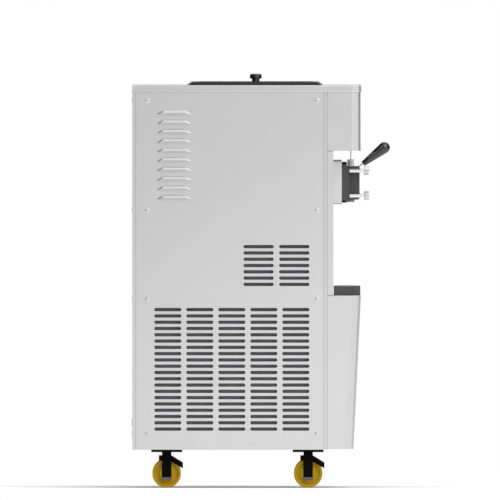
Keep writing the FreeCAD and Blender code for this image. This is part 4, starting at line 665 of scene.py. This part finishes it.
# Nodes that keep their own solids
PLAIN = {
    "base_pan": SHEET, "frame_rails": SHEET, "hoppers": STAINLESS, "freezing_cylinders": INSULATION,
    "gear_motors": MOTOR, "door_seals": RUBBER_AND_SEAM_SHADE, "lever_pivot_rod": CHROME, "condenser": FINS,
    "fan_shroud": FAN, "cooling_fan": FAN, "compressor": MOTOR, "refrigerant_pipes": COPPER,
    "electrical_box": ELECTRICS, "beater_right": BEATER, "beater_left": BEATER,
}
for node, material in PLAIN.items():
    plain(node, material)
for spout in SPOUTS:
    plain("draw_lever_" + spout, CHROME)


# Studio: white floor with a painted shadow round the machine, white backdrop, soft lamps
# Tone of the studio wall by degrees from the camera's side towards the front (positive) or the rear
STUDIO_ROUND = [(-180, 0.80), (-160, 0.70), (-135, 0.10), (-30, 0.08), (-15, 0.28), (-3, 0.66), (8, 0.82),
                (30, 0.98), (46, 1.16), (63, 1.16), (74, 0.10), (142, 0.10), (164, 0.70), (180, 0.80)]
STUDIO_ZENITH = 0.25
STUDIO_TOP = 0.95
CEILING_FAR = 0.25
CEILING_REAR = 0.12
ZENITH_FADE = (0.6, 0.95)
CEILING_FAR_FADE = (0.15, 0.6)
CEILING_REAR_FADE = (0.05, 0.4)
CEILING_RISE = (0.25, 0.9)
BACKDROP_FADE = (0.90, 0.97)
FLOOR_SIZE = 12.0
FLOOR_ALBEDO = 0.80
# Floor glow for seen rays: low near the machine as a painted shadow, rising to an even glow further out
FLOOR_GLOW_IN_PAINTED_SHADOW = 0.06
FLOOR_GLOW_FAR = 0.52
PAINTED_SHADOW_REACH = (0.35, 1.0)
PAINTED_SHADOW_SHIFT_X = 0.2
CENTRE = (0.0, 0.0, 0.75)


def combined(tree, operation, first, second):
    """Math node of two sockets or numbers."""
    node = tree.nodes.new("ShaderNodeMath")
    node.operation = operation
    for socket, value in zip(node.inputs, (first, second)):
        if isinstance(value, (int, float)):
            socket.default_value = value
        else:
            wire(tree, value, socket)
    return node.outputs["Value"]


def seen_rays(tree, rays):
    """1 for camera, glossy and transmission rays, 0 for the rays that light the part."""
    value = rays.outputs["Is Camera Ray"]
    for kind in ("Is Glossy Ray", "Is Transmission Ray"):
        value = combined(tree, "MAXIMUM", value, rays.outputs[kind])
    return value


def world_light():
    """Studio round the part: walls by their direction, a ceiling over the front right and the white backdrop.

    Every camera ray sees white, and mirrored rays see white behind the part."""
    world = bpy.data.worlds.new("studio")
    bpy.context.scene.world = world
    world.use_nodes = True
    tree = world.node_tree
    background = tree.nodes["Background"]
    background.inputs["Color"].default_value = (1, 1, 1, 1)
    place = tree.nodes.new("ShaderNodeTexCoord")
    parts = tree.nodes.new("ShaderNodeSeparateXYZ")
    wire(tree, place.outputs["Generated"], parts.inputs["Vector"])
    x, y, z = (parts.outputs[name] for name in "XYZ")
    round_about = combined(tree, "ARCTAN2", combined(tree, "MULTIPLY", y, -1.0),
                           combined(tree, "MULTIPLY", x, -1.0))
    ramp = tree.nodes.new("ShaderNodeValToRGB")
    while len(ramp.color_ramp.elements) < len(STUDIO_ROUND):
        ramp.color_ramp.elements.new(0.5)
    for element, (degrees, tone) in zip(ramp.color_ramp.elements, STUDIO_ROUND):
        element.position = (degrees + 180.0) / 360.0
        element.color = (*grey(tone), 1.0)
    wire(tree, ranged(tree, round_about, 0.0, 1.0, -math.pi, math.pi), ramp.inputs["Fac"])
    walls = combined(tree, "MULTIPLY", ramp.outputs["Color"],
                     ranged(tree, z, 1.0, STUDIO_ZENITH, *ZENITH_FADE))
    near = combined(tree, "MULTIPLY", ranged(tree, x, 1.0, CEILING_FAR, *CEILING_FAR_FADE),
                    ranged(tree, y, 1.0, CEILING_REAR, *CEILING_REAR_FADE))
    ceiling = combined(tree, "MULTIPLY", near, ranged(tree, z, 0.0, STUDIO_TOP, *CEILING_RISE))
    studio = combined(tree, "ADD", walls, ceiling)
    rays = tree.nodes.new("ShaderNodeLightPath")
    mirrored = combined(tree, "MAXIMUM", rays.outputs["Is Glossy Ray"], rays.outputs["Is Transmission Ray"])
    backdrop = combined(tree, "MULTIPLY", mirrored, ranged(tree, x, 0.0, 1.0, *BACKDROP_FADE))
    white = combined(tree, "MAXIMUM", backdrop, rays.outputs["Is Camera Ray"])
    wire(tree, combined(tree, "MAXIMUM", white, studio), background.inputs["Strength"])


def soft_lamp(name, place, target, width, height, power, roll=0.0):
    light = bpy.data.lights.new(name, "AREA")
    light.shape = "RECTANGLE"
    light.size = width
    light.size_y = height
    light.energy = power
    lamp = bpy.data.objects.new(name, light)
    lamp.location = place
    aim = (Vector(target) - Vector(place)).to_track_quat("-Z", "Y")
    lamp.rotation_euler = (aim @ Quaternion((0, 0, 1), roll)).to_euler()
    bpy.context.scene.collection.objects.link(lamp)
    return lamp


def studio_floor():
    """White floor that keeps the shadow under the machine; its glow is dimmed near the machine as a painted
    shadow, shifted a little towards +X.
    """
    mesh = bpy.data.meshes.new("floor")
    corners = [(x * FLOOR_SIZE, y * FLOOR_SIZE, 0) for x, y in ((-1, -1), (1, -1), (1, 1), (-1, 1))]
    mesh.from_pydata(corners, [], [(0, 1, 2, 3)])
    floor = bpy.data.objects.new("floor", mesh)
    bpy.context.scene.collection.objects.link(floor)
    material, tree, shader = shader_nodes("floor_white")
    shader.inputs["Base Color"].default_value = (*grey(FLOOR_ALBEDO), 1)
    shader.inputs["Roughness"].default_value = 0.9
    shader.inputs["Specular IOR Level"].default_value = 0.0
    shader.inputs["Emission Color"].default_value = (1, 1, 1, 1)
    place = tree.nodes.new("ShaderNodeTexCoord")
    reach = tree.nodes.new("ShaderNodeVectorMath")
    reach.operation = "LENGTH"
    shift = tree.nodes.new("ShaderNodeVectorMath")
    shift.operation = "ADD"
    shift.inputs[1].default_value = (-PAINTED_SHADOW_SHIFT_X, 0.0, 0.0)
    wire(tree, place.outputs["Object"], shift.inputs[0])
    wire(tree, shift.outputs["Vector"], reach.inputs[0])
    # Painted shadow: the glow drops near the machine, round a centre shifted towards +X
    painted_shadow_glow = ranged(tree, reach.outputs["Value"], FLOOR_GLOW_IN_PAINTED_SHADOW, FLOOR_GLOW_FAR, *PAINTED_SHADOW_REACH)
    rays = tree.nodes.new("ShaderNodeLightPath")
    glow = combined(tree, "MULTIPLY", seen_rays(tree, rays), painted_shadow_glow)
    wire(tree, glow, shader.inputs["Emission Strength"])
    mesh.materials.append(material)


world_light()
soft_lamp("key_lamp", (-2.6, -1.5, 3.0), CENTRE, 2.0, 2.0, 30.0)
soft_lamp("top_lamp", (-0.8, -1.3, 3.3), CENTRE, 2.0, 1.6, 7.0)
soft_lamp("fill_lamp", (-5.3, -0.56, 0.35), (0.0, -0.56, 0.35), 2.8, 1.0, 6.6, math.radians(25))
studio_floor()


# Camera at the photograph's place
def photograph_camera():
    camera = bpy.data.cameras.new("camera")
    camera.type = "ORTHO"
    camera.ortho_scale = VIEW_WIDTH
    camera.clip_end = 50.0
    holder = bpy.data.objects.new("camera", camera)
    bpy.context.scene.collection.objects.link(holder)
    back = Vector((-math.cos(VIEW_ELEVATION), 0.0, math.sin(VIEW_ELEVATION)))
    holder.location = Vector((0.0, VIEW_Y, VIEW_Z)) + back * CAMERA_DISTANCE
    holder.rotation_mode = "QUATERNION"
    holder.rotation_quaternion = (-back).to_track_quat("-Z", "Y")
    bpy.context.scene.camera = holder


photograph_camera()
bpy.context.scene.view_settings.view_transform = "Standard"
